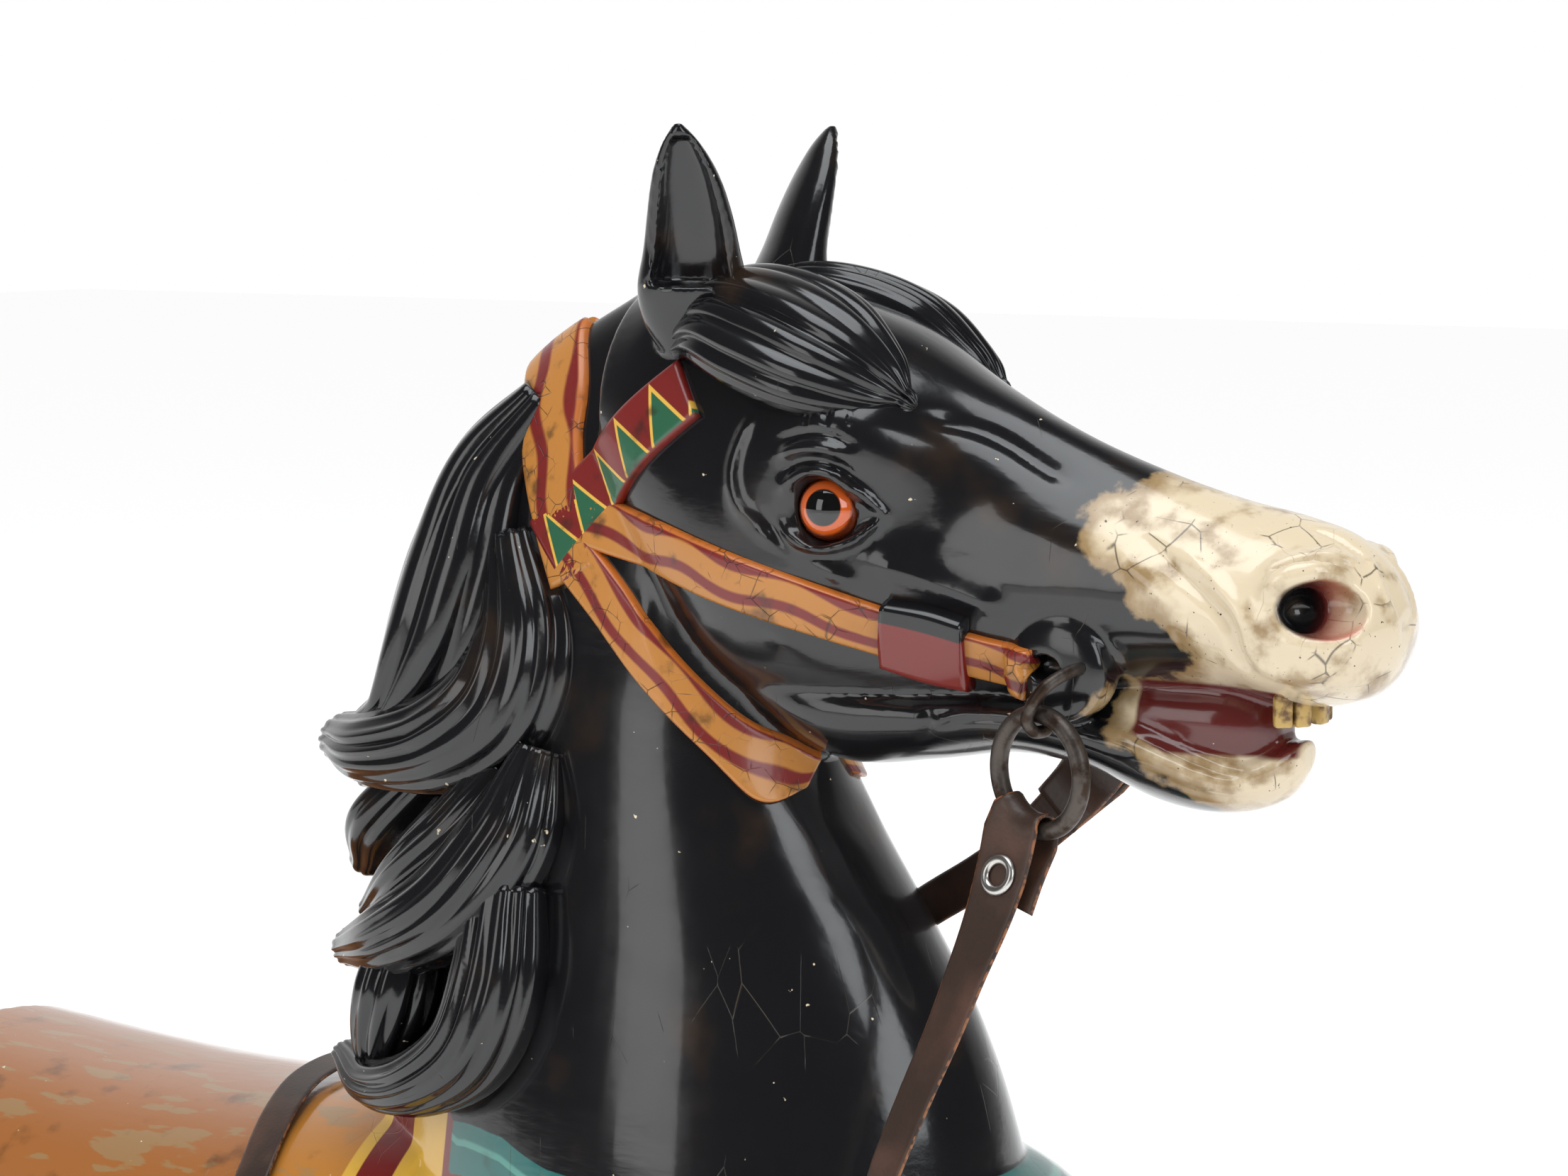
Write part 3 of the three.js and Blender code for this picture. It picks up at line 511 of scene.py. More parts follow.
# %% Strokes
STROKES = [  # points along the line, width, and how far it moves out
    ([(247, -78, 529), (261, -80, 533), (275, -81, 534), (288, -78, 531)], 3.4, 3.2),  # upper lid's outer ridge
    ([(244, -78, 536), (262, -80, 541), (277, -80, 541), (291, -77, 536)], 2.6, -3.2),  # fold above it
    ([(248, -76, 520), (258, -79, 526), (272, -80, 528), (286, -77, 524), (296, -73, 514)], 3.0, -2.6),
    ([(227, -69, 549), (220, -73, 533), (217, -76, 519), (221, -77, 504), (234, -78, 491)], 4.5, 2.4),  # orbit
    ([(234, -78, 491), (250, -80, 482), (268, -76, 474), (287, -69, 466)], 3.5, 2.6),
    ([(236, -76, 500), (250, -79, 484), (268, -78, 479), (288, -72, 482)], 3.0, -1.8),
    ([(294, -78, 509), (301, -74, 506), (307, -69, 502)], 2.2, -2.2),  # inner corner
    ([(292, -74, 497), (300, -71, 498), (306, -69, 500)], 2.4, -1.6),
    ([(262, -74, 558), (264, -79, 545)], 1.5, -1.3), ([(272, -73, 558), (277, -79, 545)], 1.5, -1.5),
    ([(285, -68, 557), (288, -76, 545)], 1.6, -1.4),
    ([(306, -52, 550), (333, -36, 546), (352, -30, 539), (372, -30, 529), (392, -31, 520)],
     6.5, -3.0),  # hollow beside the bridge of the nose
    ([(296, -68, 476), (317, -64, 471), (343, -58, 463), (366, -52, 455)], 6.5, 3.4),  # cheekbone
    ([(318, -60, 490), (350, -50, 485), (392, -47, 478)], 9.0, -1.8),
    ([(437, -40, 494), (460, -47, 479), (475, -50, 468), (487, -51, 457), (492, -50, 442), (499, -48, 434)],
     3.6, -3.6),  # crease behind the nostril, and its fold
    ([(459, -42, 489), (472, -46, 481), (482, -49, 473), (492, -52, 464), (497, -52, 454)], 3.6, 2.6),
    ([(424, -44, 486), (444, -48, 472), (458, -50, 458), (470, -48, 446)], 5.5, 1.6),
    ([(501, -45, 480), (511, -36, 488), (525, -26, 490), (541, -17, 485)], 4.2, 3.4),  # over the nostril
    ([(505, -46, 474), (516, -44, 482), (530, -35, 483), (543, -24, 480)], 2.2, -1.2),
    ([(492, -16, 508), (506, -14, 505), (523, -12, 498), (540, -12, 489)], 2.2, -1.8),
    ([(538, -8, 491), (547, -13, 479), (553, -14, 467), (556, -8, 450)], 2.4, 1.8),
    ([(511, -48, 452), (524, -48, 449), (540, -40, 448), (548, -28, 455)], 3.6, 1.6),
    ([(500, -50, 441), (515, -48, 434), (532, -42, 432)], 4.0, 1.8),  # lip
    ([(440, -46, 420), (470, -48, 418), (500, -48, 419), (522, -42, 421)], 2.4, 1.4),
    ([(418, -36, 405), (432, -36, 402), (447, -33, 397), (462, -31, 391), (478, -28, 389)], 2.4, 2.0),  # lower lip
    ([(424, -36, 399), (444, -33, 391), (462, -31, 384), (480, -28, 379), (494, -18, 379)], 2.6, -2.4),
    ([(420, -36, 391), (444, -33, 383), (464, -31, 376), (484, -26, 373)], 3.2, 1.8),
    ([(430, -36, 381), (452, -34, 372), (470, -30, 368), (486, -22, 369)], 2.6, -1.4),
    ([(318, -44, 397), (330, -43, 401), (346, -42, 403), (364, -41, 404)], 2.0, -1.8),  # wrinkles of the jaw
    ([(322, -43, 390), (336, -43, 395), (350, -42, 397), (366, -41, 397)], 2.0, -1.8),
    ([(318, -44, 403), (340, -43, 400), (362, -41, 400)], 1.6, 1.2),
    ([(312, -46, 406), (316, -45, 396), (314, -42, 386), (302, -36, 374)], 3.0, -1.8),
    ([(236, -72, 440), (262, -74, 420), (292, -62, 402)], 10.0, 2.0),
    ([(280, -66, 446), (300, -60, 424), (304, -52, 404)], 6.0, -2.0),
    ([(150, -62, 452), (158, -66, 420), (180, -66, 396), (212, -58, 380)], 5.0, 1.6),
]


def along_line(points, spacing=1.0):
    count = max(int(sum(math.dist(a, b) for a, b in zip(points, points[1:])) / spacing), 2)
    return along_rows(points)(np.linspace(0, 1, count))


def carve(piece, strokes):
    co = points_of(piece.data)
    normals = np.empty(len(co) * 3, np.float32)
    piece.data.vertex_normals.foreach_get("vector", normals)
    normals = normals.reshape(-1, 3)
    push = np.zeros(len(co))
    for side in (1, -1):
        for points, width, out in strokes:
            line = along_line(points) * (1, -side, 1)
            low, high = line.min(0) - 3 * width, line.max(0) + 3 * width
            near = np.flatnonzero(((co > low) & (co < high)).all(1))
            if not len(near):
                continue
            gap = co[near][:, None] - line[None]
            distance = np.sqrt((gap ** 2).sum(-1))
            nearest = distance.argmin(1)
            t = nearest / (len(line) - 1)
            fade = np.clip(np.minimum(t, 1 - t) * 5 + 0.25, 0, 1)
            push[near] += out * fade * np.exp(-(distance.min(1) / width) ** 2)
    move_points(piece.data, co + normals * push[:, None])
    print(len(strokes), "strokes; deepest", round(push.min(), 1), "mm, proudest", round(push.max(), 1), "mm")


carve(horse, STROKES)

# %% Thin the skin where it is smooth
MOST_TRIANGLES = 190_000
soften(horse, 1)
thin = horse.modifiers.new("thin", "DECIMATE")
triangles = sum(len(p.vertices) - 2 for p in horse.data.polygons)
thin.ratio = min(1.0, MOST_TRIANGLES / triangles)
settle(horse)
horse.data.shade_smooth()
print("skin thinned from", triangles, "to", sum(len(p.vertices) - 2 for p in horse.data.polygons), "triangles")

# %% [markdown]
# ## Mane and forelock
# The mane is heavier on the side that faced outwards on the ride. Each lock is its own closed sweep, and
# the locks lie over one another with dark recesses between them.

# %% Mane locks
MANE = [  # rows of x, out, z, half width, half depth; facing; strands; only on the outer side
    ([(56, 16, 548, 16, 16), (28, 26, 506, 30, 28), (16, 38, 456, 38, 33), (4, 46, 410, 37, 34),
      (-18, 52, 372, 24, 26), (-48, 52, 358, 12, 14)], (-0.2, 1, 0.1), 4, False),
    ([(50, 36, 470, 20, 20), (70, 52, 424, 34, 28), (62, 64, 386, 36, 30), (26, 70, 362, 30, 31),
      (-24, 64, 352, 23, 29), (-62, 50, 352, 15, 19)], (-0.1, 1, -0.1), 8, False),
    ([(-20, 34, 350, 14, 14), (-58, 24, 334, 16, 18), (-76, 18, 326, 9, 10)], (-0.6, 1, 0), 4, True),
    ([(-10, 46, 336, 16, 16), (-44, 44, 306, 18, 20), (-62, 34, 280, 11, 12)], (-0.6, 1, 0), 4, True),
    ([(66, 66, 346, 20, 18), (44, 80, 316, 21, 23), (12, 82, 288, 19, 23), (-26, 72, 262, 9, 11)], (0, 1, 0), 6, False),
    ([(90, 72, 362, 14, 14), (84, 88, 320, 28, 24), (58, 98, 282, 30, 28), (12, 94, 256, 24, 27),
      (-36, 78, 240, 12, 15)], (0, 1, 0), 8, False),
    ([(10, 84, 256, 20, 16), (4, 92, 222, 24, 24), (-4, 94, 192, 18, 18), (-4, 92, 170, 8, 8)], (0, 1, 0), 6, True),
    ([(84, 96, 290, 24, 18), (88, 108, 244, 28, 24), (76, 114, 206, 26, 26), (42, 114, 182, 20, 25),
      (2, 104, 173, 14, 20), (-34, 86, 180, 8, 12)], (0, 1, 0), 7, False),
]
FORELOCK = [(158, 30, 588, 22, 12), (190, 40, 597, 35, 21), (226, 47, 590, 42, 25), (262, 52, 577, 38, 24),
            (290, 50, 564, 23, 16), (303, 48, 557, 8, 8)]
locks = []
for side in (-1, 1):
    for number, (rows, facing, strands, outer_only) in enumerate(MANE):
        if side < 0 or not outer_only:
            rings, length, share = sweep_rings(rows, facing, side, strands if side < 0 else max(strands - 2, 2),
                                               wander=0.06, seed=number)
            locks.append(loft(rings, length, share))
mane = gather("mane", locks)
forelocks = [loft(*sweep_rings(FORELOCK, (0.1, 0.6, 0.8), side, 7, around=96, wander=0.03, parted=1.2, seed=20))
             for side in (1, -1)]
forelock = gather("forelock", forelocks)
print("mane:", len(mane.data.polygons), "faces; forelock:", len(forelock.data.polygons))

# %% [markdown]
# ## The carved bridle
# The bridle is carved in the same wood and stands a few millimetres proud. Each band is laid on the skin
# by rays cast from outside: where a ray lands is the foot of the band, and the band rises from it with
# rounded shoulders. Its points keep how far along and across the band they are, for the painted stripes.

# %% Bands that follow the skin
OUT = (0, 1, 0)
STRAPS = {  # rows of a point near the surface, its outward direction, and the width there
    "crown_strap": [(57, 0, 575, (-0.55, 0, 0.83), 50), (64, 30, 556, (-0.5, 0.5, 0.7), 50),
                    (72, 46, 526, (-0.3, 0.9, 0.3), 47), (88, 56, 492, OUT, 42), (106, 58, 456, OUT, 38)],
    "browband": [(82, 54, 470, OUT, 40), (112, 58, 501, OUT, 38), (142, 64, 530, OUT, 36), (180, 66, 560, OUT, 36)],
    "cheek_strap": [(112, 60, 486, OUT, 28), (160, 68, 477, OUT, 29), (206, 76, 466, OUT, 29),
                    (256, 72, 453, OUT, 28), (306, 55, 438, OUT, 27)],
    "throat_strap": [(100, 58, 470, OUT, 30), (130, 60, 444, OUT, 28), (160, 60, 412, OUT, 26), (190, 54, 383, OUT, 24),
                     (216, 40, 361, (0.1, 0.8, -0.5), 18), (232, 26, 352, (0.2, 0.8, -0.5), 10)],
    "bit_strap": [(336, 50, 432, OUT, 24), (356, 48, 428, OUT, 24), (380, 46, 424, OUT, 26)],
    "buckle_block": [(300, 56, 440, OUT, 38), (322, 50, 435, OUT, 42), (342, 48, 431, OUT, 40)],
}
STRAP_HEIGHT, BUCKLE_HEIGHT, STRAP_ROOT = 5.5, 11, 5


def skin_of(piece):
    co = points_of(piece.data)
    faces = [tuple(p.vertices) for p in piece.data.polygons]
    return BVHTree.FromPolygons([tuple(p) for p in co], faces)


def band_rings(skin, side, rows, height, step=2.5, columns=25):
    at = along_rows([(x, y, z, *facing, wide) for x, y, z, facing, wide in rows])
    mirror = np.array([1, side, 1.0])
    length = np.linalg.norm(np.diff(at(np.linspace(0, 1, 50))[:, :3], axis=0), axis=1).sum()
    steps = int(length / step) + 2
    share = np.sin(np.linspace(-np.pi / 2, np.pi / 2, columns))
    shoulder = np.sqrt(np.clip(1 - (np.clip(np.abs(share) - 0.8, 0, None) / 0.2) ** 2, 0, 1))
    rings, across = [], np.concatenate([share, share[::-4]])
    for t in np.linspace(0, 1, steps):
        here, ahead, behind = at(t)[0], at(min(t + 0.02, 1))[0], at(max(t - 0.02, 0))[0]
        face = unit(here[3:6] * mirror)
        over = unit(np.cross((ahead - behind)[:3] * mirror, face))
        feet, ups = [], []
        for v in share:
            start = here[:3] * mirror + over * v * here[6] / 2 + face * 45
            place, normal, _, _ = skin.ray_cast(Vector(start), Vector(-face), 90)
            if place is None:
                feet.append(start - face * 45)
                ups.append(face)
            else:
                normal = np.array(normal)
                feet.append(np.array(place))
                ups.append(unit(normal * np.sign(normal @ face) + face))
        feet, ups = np.array(feet), np.array(ups)
        ups = unit(ups + ups.mean(0))
        top = feet + ups * (height * shoulder)[:, None]
        root = (feet - ups * STRAP_ROOT)[::-4]
        rings.append(np.concatenate([top, root]))
    return np.array(rings), np.linspace(0, length, steps), across


skin = skin_of(horse)
bridle = {}
for name, rows in STRAPS.items():
    height = BUCKLE_HEIGHT if name == "buckle_block" else STRAP_HEIGHT
    bridle[name] = gather(name, [loft(*band_rings(skin, side, rows, height)) for side in (-1, 1)])
print("bridle:", {name: len(piece.data.polygons) for name, piece in bridle.items()})

# %% [markdown]
# ## Teeth
# Five upper teeth show in the gap under the lip, as small blocks with softened edges, set round a curve.

# %% Teeth
bm = bmesh.new()
for i in (-2, -1, 0, 1, 2):
    turn = (i + 0.5 * np.sign(i)) * 0.36
    made = bmesh.ops.create_cube(bm, size=1)["verts"]
    bmesh.ops.scale(bm, verts=made, vec=Vector((7, 9, 22)) * MM)
    edges = list({edge for vert in made for edge in vert.link_edges})
    made = bmesh.ops.bevel(bm, geom=edges, offset=1.6 * MM, segments=3, profile=0.5, affect="EDGES",
                           material=-1)["verts"]
    cos, sin = math.cos(turn), math.sin(turn)
    for vert in made:
        x, y, z = vert.co
        vert.co = Vector(((27 * MM + x) * cos - y * sin + 486 * MM, (27 * MM + x) * sin + y * cos, z + 415 * MM))
teeth_mesh = bpy.data.meshes.new("teeth")
bm.to_mesh(teeth_mesh)
bm.free()
teeth_mesh.shade_smooth()
teeth = bpy.data.objects.new("teeth", teeth_mesh)
bpy.context.scene.collection.objects.link(teeth)
print("teeth:", len(teeth_mesh.polygons), "faces")

# %% [markdown]
# ## Glass eyes
# Each eye is a blown glass ball with a dark pupil and an orange ring painted behind the clear front. One
# round ball is enough: the ring is a matter of how far a point is from the line of sight.

# %% Eyes
eyes = {}
for name, side in (("right", -1), ("left", 1)):
    bm = bmesh.new()
    bmesh.ops.create_uvsphere(bm, u_segments=64, v_segments=40, radius=EYE_RADIUS * MM)
    bmesh.ops.translate(bm, verts=bm.verts, vec=Vector(EYE_AT * (1, side, 1)) * MM)
    mesh = bpy.data.meshes.new("glass_eye_" + name)
    bm.to_mesh(mesh)
    bm.free()
    mesh.shade_smooth()
    eyes[name] = bpy.data.objects.new("glass_eye_" + name, mesh)
    bpy.context.scene.collection.objects.link(eyes[name])
print("eyes:", 2 * EYE_RADIUS, "mm across")

# %% [markdown]
# ## Iron hooks and rings
# A bent iron hook is driven into each boss, and a heavy ring hangs from it. The left ring is drawn back,
# because the rein pulls it towards the withers.

# %% Rings and hooks
RING_RADIUS, RING_BAR, HOOK_BAR = 29, 4.7, 3.2
RING_HANGS_AT = np.array([396, 71, 408.0])
STRAP_THICKNESS = 2.6
SLACK = RING_BAR + HOOK_BAR + 3 * GAP
RINGS = {"right": (-1, np.array([0, 0, -1.0]), unit([-0.297, -0.955, 0])),
         "left": (1, unit([-0.7, 0, -0.714]), np.array([0, 1.0, 0]))}


def ring_place(name):
    side, down, face = RINGS[name]
    centre = RING_HANGS_AT * (1, side, 1) - (0, 0, SLACK) + down * (RING_RADIUS - SLACK)
    return centre, np.cross(down, face) * side, down, face


def tube_rings(path, radius, around=24):
    tangent = unit(np.gradient(path, axis=0))
    up = np.array([0.3, 0.2, 0.93])
    rings, angle = [], 2 * np.pi * np.arange(around) / around
    for place, along, r in zip(path, tangent, np.broadcast_to(radius, len(path))):
        over = unit(np.cross(along, up))
        up = np.cross(over, along)
        rings.append(place + (np.cos(angle)[:, None] * over + np.sin(angle)[:, None] * up) * r)
    return np.array(rings)


def hook_path(side):
    x, out, z = RING_HANGS_AT
    nx, ny = -0.297 * SLACK, 0.955 * SLACK
    bends = [(x + 13, out - 24, z + 21), (x + 12, out - 9, z + 21), (x + 5, out + 5, z + 14), (x + nx, out + ny, z),
             (x + 0.6 * nx, out + 0.6 * ny, z - 0.84 * SLACK), (x, out, z - SLACK),
             (x - 0.6 * nx, out - 0.6 * ny, z - 0.84 * SLACK), (x - nx, out - ny, z)]
    return along_rows(bends)(np.linspace(0, 1, 64)) * (1, side, 1)


hooks, rings = {}, {}
for name, (side, down, face) in RINGS.items():
    centre, across, down, face = ring_place(name)
    bm = bmesh.new()
    bmesh.ops.create_circle(bm, segments=20, radius=RING_BAR * MM)
    for vert in bm.verts:
        radial, lift = RING_RADIUS * MM + vert.co.x, vert.co.y
        vert.co = Vector(centre * MM + across * radial + face * lift)
    bmesh.ops.spin(bm, geom=bm.edges[:], cent=Vector(centre) * MM, axis=Vector(face), angle=2 * math.pi, steps=96,
                   use_merge=True)
    bmesh.ops.remove_doubles(bm, verts=bm.verts, dist=1e-6)
    bmesh.ops.recalc_face_normals(bm, faces=bm.faces)
    mesh = bpy.data.meshes.new("iron_ring")
    bm.to_mesh(mesh)
    bm.free()
    rings[name] = gather("iron_ring_" + name, [mesh])
    bow = np.append(np.ones(60), np.cos(np.linspace(0.2, 1.5, 4)))
    hooks[name] = gather("iron_hook_" + name, [loft(tube_rings(hook_path(side), HOOK_BAR * bow))])
print("iron:", sorted(piece.name for piece in (*rings.values(), *hooks.values())))

# %% [markdown]
# ## The leather rein
# The rein is one flat strap. It is folded over each ring and held there by an eyelet, hangs down, passes
# outside the shoulder and lies over the withers. It is modelled directly, row by row, because it keeps
# its width and only bends: a fold round the ring, then rows of place, width, curl and direction across.

# %% Rows of the rein
FOLD_HALF_ANGLE, FOLD_TURNED = 0.6, {"right": -0.38, "left": 0.0}
REIN_RUN = [
    (381.5, -76.5, 340, 36, 4, 0.89, -0.28, -0.36), (379.5, -80, 327, 34, 1, 0.9, -0.28, -0.3),
    (376, -88, 305, 31, 0, 0.93, -0.3, -0.12), (371, -99, 280, 28, 0, 0.94, -0.32, -0.05),
    (366, -113, 252, 26, 0, 0.93, -0.34, -0.05), (360, -130, 222, 25, 0, 0.92, -0.37, -0.05),
    (354, -148, 188, 24, 0, 0.9, -0.42, -0.05), (347, -160, 150, 24, 0, 0.8, -0.6, 0),
    (332, -166, 108, 24, 0, 0.6, -0.8, 0), (300, -170, 66, 24, 0, 0.35, -0.93, 0),
    (250, -173, 34, 24, 0, 0.1, -1, 0), (190, -175, 19, 24, 0, 0, -1, 0), (120, -176, 15, 24, 0, 0, -1, 0),
    (50, -176, 17, 24, 0, 0, -1, 0),
    (-10, -174, 26, 24, 0, -0.1, -1, 0), (-50, -168, 42, 24, 0, -0.35, -0.93, 0),
    (-70, -156, 62, 24, 0, -0.6, -0.7, -0.1), (-79, -136, 86, 24, 0, -0.8, -0.4, -0.2),
    (-86, -110, 111, 24, 0, -0.92, -0.13, -0.2), (-100, -71, 134, 24, 0, -0.95, -0.1, -0.1),
    (-114, -26, 144, 24, 0, -0.98, 0, 0), (-116, 25, 144, 24, 0, -0.98, 0.1, 0),
    (-95, 76, 133, 24, 0, -0.75, 0.47, -0.27), (-55, 124, 120, 24, 0, -0.3, 0.45, -0.8),
    (0, 148, 142, 24, 0, 0.3, 0.17, -0.93), (60, 152, 170, 24, 0, 0.4, 0, -0.9),
    (120, 144, 196, 24, 0, 0.42, -0.12, -0.9), (180, 119, 228, 24, 0, 0.42, -0.15, -0.88),
    (233, 97, 262, 24, 0, 0.45, -0.1, -0.88),
    (272, 88, 286, 24, 0, 0.5, -0.05, -0.86), (300, 83, 306, 25, 0, 0.6, 0, -0.8),
    (328, 79, 331, 29, 0, 0.68, 0, -0.73), (341, 77.5, 344, 33, 1, 0.71, 0, -0.7),
    (350, 77.5, 353, 36, 4, 0.71, 0, -0.7),
]
TAIL_RIGHT = [(388.5, -63.5, 343, 36, 4, 0.89, -0.28, -0.36), (386.5, -72, 329, 33, 1, 0.9, -0.28, -0.3),
              (385, -79.5, 313, 31, 0, 0.93, -0.29, -0.2)]
TAIL_LEFT = [(351, 65, 354.5, 36, 4, 0.71, 0, -0.7), (340, 72, 343, 33, 1, 0.71, 0, -0.7),
             (327, 73.5, 330, 31, 0, 0.7, 0, -0.71)]
COLUMNS = np.linspace(-1, 1, 17)


def strap_rows(rows, upwards, count):
    values = along_rows(rows)(np.linspace(0, 1, count))
    over = unit(values[:, 5:8])
    return (values[:, None, :3] + over[:, None] * (COLUMNS[None, :, None] * values[:, 3][:, None, None] / 2)
            + upwards * (values[:, 4][:, None, None] * COLUMNS[None, :, None] ** 2))


def fold_rows(name, count=15):
    centre, across, down, face = ring_place(name)
    reach = RING_BAR + 5 * GAP + STRAP_THICKNESS / 2
    turn = np.pi * np.linspace(0, 1, count)[:, None, None]
    around = FOLD_TURNED[name] + FOLD_HALF_ANGLE * COLUMNS[None, :, None]
    radial = across * np.sin(around) + down * np.cos(around)
    return centre + radial * (RING_RADIUS - reach * np.sin(turn)) + face * (reach * np.cos(turn))


def slab_rings(grid, thickness):
    along = np.gradient(grid, axis=0)
    over = np.gradient(grid, axis=1)
    normal = unit(np.cross(along, over))
    edge = np.sqrt(np.clip(1 - (np.clip(np.abs(COLUMNS) - 0.9, 0, None) / 0.1) ** 2, 0.12, 1))[None, :, None]
    front, back = grid + normal * thickness / 2 * edge, grid - normal * thickness / 2 * edge
    return np.concatenate([front, back[:, ::-1]], axis=1)


up_right, up_left = -RINGS["right"][1], -RINGS["left"][1]
RUN_STEPS, HALF_WAY = 420, 210
run_rows = strap_rows(REIN_RUN, up_right, RUN_STEPS)
run_rows[HALF_WAY:] = strap_rows(REIN_RUN, up_left, RUN_STEPS)[HALF_WAY:]
grid = np.concatenate([
    strap_rows(TAIL_RIGHT, up_right, 12)[::-1], fold_rows("right")[::-1], run_rows, fold_rows("left"),
    strap_rows(TAIL_LEFT, up_left, 12)])
step = np.linalg.norm(np.diff(grid[:, 8], axis=0), axis=1)
rein_length = np.append(0, np.cumsum(step))
both_faces = np.concatenate([COLUMNS, COLUMNS[::-1]])
rein = gather("rein_strap", [loft(slab_rings(grid, STRAP_THICKNESS), rein_length, both_faces)])
print("rein:", round(rein_length[-1]), "mm along its middle, folds and tails included")

# %% Eyelets
EYELETS = {"right": ((379.5, -80, 327), (-0.177, -0.925, 0.332)), "left": ((341, 77.5, 344), (0, 1, 0))}
eyelets = {}
for name, (at, facing) in EYELETS.items():
    facing = unit(facing)
    over = unit(np.cross(facing, (0, 0, 1)))
    seat = np.array(at) + facing * (STRAP_THICKNESS / 2 + 3 * GAP)
    outline = [(5.5, 0), (10.5, 0), (10.4, 0.5), (9.9, 1.4), (9.0, 1.9), (8.0, 2.0), (6.9, 1.8), (6.0, 1.2), (5.5, 0.4)]
    bm = bmesh.new()
    section = [bm.verts.new(Vector(seat + facing * h + over * r) * MM) for r, h in outline]
    edges = [bm.edges.new((section[i], section[(i + 1) % len(section)])) for i in range(len(section))]
    bmesh.ops.spin(bm, geom=edges, cent=Vector(seat) * MM, axis=Vector(facing), angle=2 * math.pi, steps=64,
                   use_merge=True)
    bmesh.ops.remove_doubles(bm, verts=bm.verts, dist=1e-6)
    bmesh.ops.recalc_face_normals(bm, faces=bm.faces)
    mesh = bpy.data.meshes.new("eyelet")
    bm.to_mesh(mesh)
    bm.free()
    eyelets[name] = gather("metal_eyelet_" + name, [mesh])
print("eyelets:", sorted(eyelets))

# %% [markdown]
# ## Where each colour lies
# The painter's borders are stored on the skin as plain distances in millimetres: positive inside the
# colour, negative outside. A material can then turn one distance into a border, a line beside it, or a
# worn edge, and the edge stays sharp on a coarse mesh.

# %% Distances on the skin
MUZZLE = np.array([(447, 530), (424, 522), (411, 517), (400, 508), (402, 496), (405, 484), (429, 473), (435, 458),
                   (454, 451), (461, 439), (446, 424), (421, 422), (410, 410), (411, 396), (431, 381), (449, 372),
                   (462, 363), (470, 350), (600, 350), (600, 560), (447, 560)], float)
COLLAR_X, COLLAR_Z = (40, 51, 65, 94, 129, 200, 280, 340), (175, 158, 160, 158, 148, 143, 150, 150)


def inside_distance(points, outline):
    inside, nearest = np.zeros(len(points), bool), np.full(len(points), 1e9)
    for a, b in zip(outline, np.roll(outline, -1, axis=0)):
        crosses = (a[1] > points[:, 1]) != (b[1] > points[:, 1])
        at = a[0] + (points[:, 1] - a[1]) * (b[0] - a[0]) / (b[1] - a[1] if b[1] != a[1] else 1e-9)
        inside ^= crosses & (points[:, 0] < at)
        t = np.clip(((points - a) @ (b - a)) / ((b - a) @ (b - a)), 0, 1)
        nearest = np.minimum(nearest, np.linalg.norm(points - a - t[:, None] * (b - a), axis=1))
    return np.where(inside, nearest, -nearest)


def store(piece, name, values):
    layer = piece.data.attributes.new(name, "FLOAT", "POINT")
    layer.data.foreach_set("value", np.asarray(values, np.float32))


MOUTH_HALF_WIDTH, MOUTH_BACK, MOUTH_FRONT, MOUTH_LOW, MOUTH_HIGH = 34, 424, 508, 386, 424
# the nostrils' painted zones; in the deep one, the black towards the back of the hollow is painted shade
NOSTRIL_REDDENED, NOSTRIL_DARKENED = (25, 21, 15), (14, 17, 13)
co = points_of(horse.data)
x, y, z = co.T
store(horse, "muzzle", inside_distance(co[:, [0, 2]], MUZZLE))
store(horse, "collar", np.interp(x, COLLAR_X, COLLAR_Z) - z)
store(horse, "mouth", np.minimum.reduce(
    [MOUTH_HALF_WIDTH - np.abs(y), MOUTH_HIGH - z, z - MOUTH_LOW, x - MOUTH_BACK, MOUTH_FRONT - x]))
hollow = []
for side in (1, -1):
    gap = (co - NOSTRIL_AT * (1, side, 1)) / NOSTRIL_REDDENED
    deep = (co - NOSTRIL_DEEP_AT * (1, side, 1)) / NOSTRIL_DARKENED
    hollow.append((1.04 - np.minimum(np.linalg.norm(gap, axis=1), np.linalg.norm(deep, axis=1))) * 15)
store(horse, "nostril", np.maximum(*hollow))
print("painted distances stored on", len(co), "points")

# %% [markdown]
# ## Paint
# A small helper writes a material as arithmetic. The horse's black is a thick gloss enamel over older
# coats: nearly black, a little browner in random blotches, with fine cracks and brush marks in the surface.

# %% A material written as arithmetic


class Value:
    """One number, vector or colour inside a material."""

    def __init__(self, paint, socket):
        self.paint, self.socket = paint, socket

    def math(self, operation, *others):
        return self.paint.node("ShaderNodeMath", {"operation": operation}, dict(enumerate((self, *others))))

    def __add__(self, other):
        return self.math("ADD", other)

    def __sub__(self, other):
        return self.math("SUBTRACT", other)

    def __mul__(self, other):
        return self.math("MULTIPLY", other)

    def __rsub__(self, other):
        return self * -1 + other

    def step(self, low, high):
        """0 below low, 1 above high, smooth between."""
        return self.paint.node("ShaderNodeMapRange", {"interpolation_type": "SMOOTHSTEP"},
                               {"Value": self, "From Min": low, "From Max": high})

    def band(self, low, high, soft=0.6):
        return self.step(low - soft, low + soft) * (1 - self.step(high - soft, high + soft))


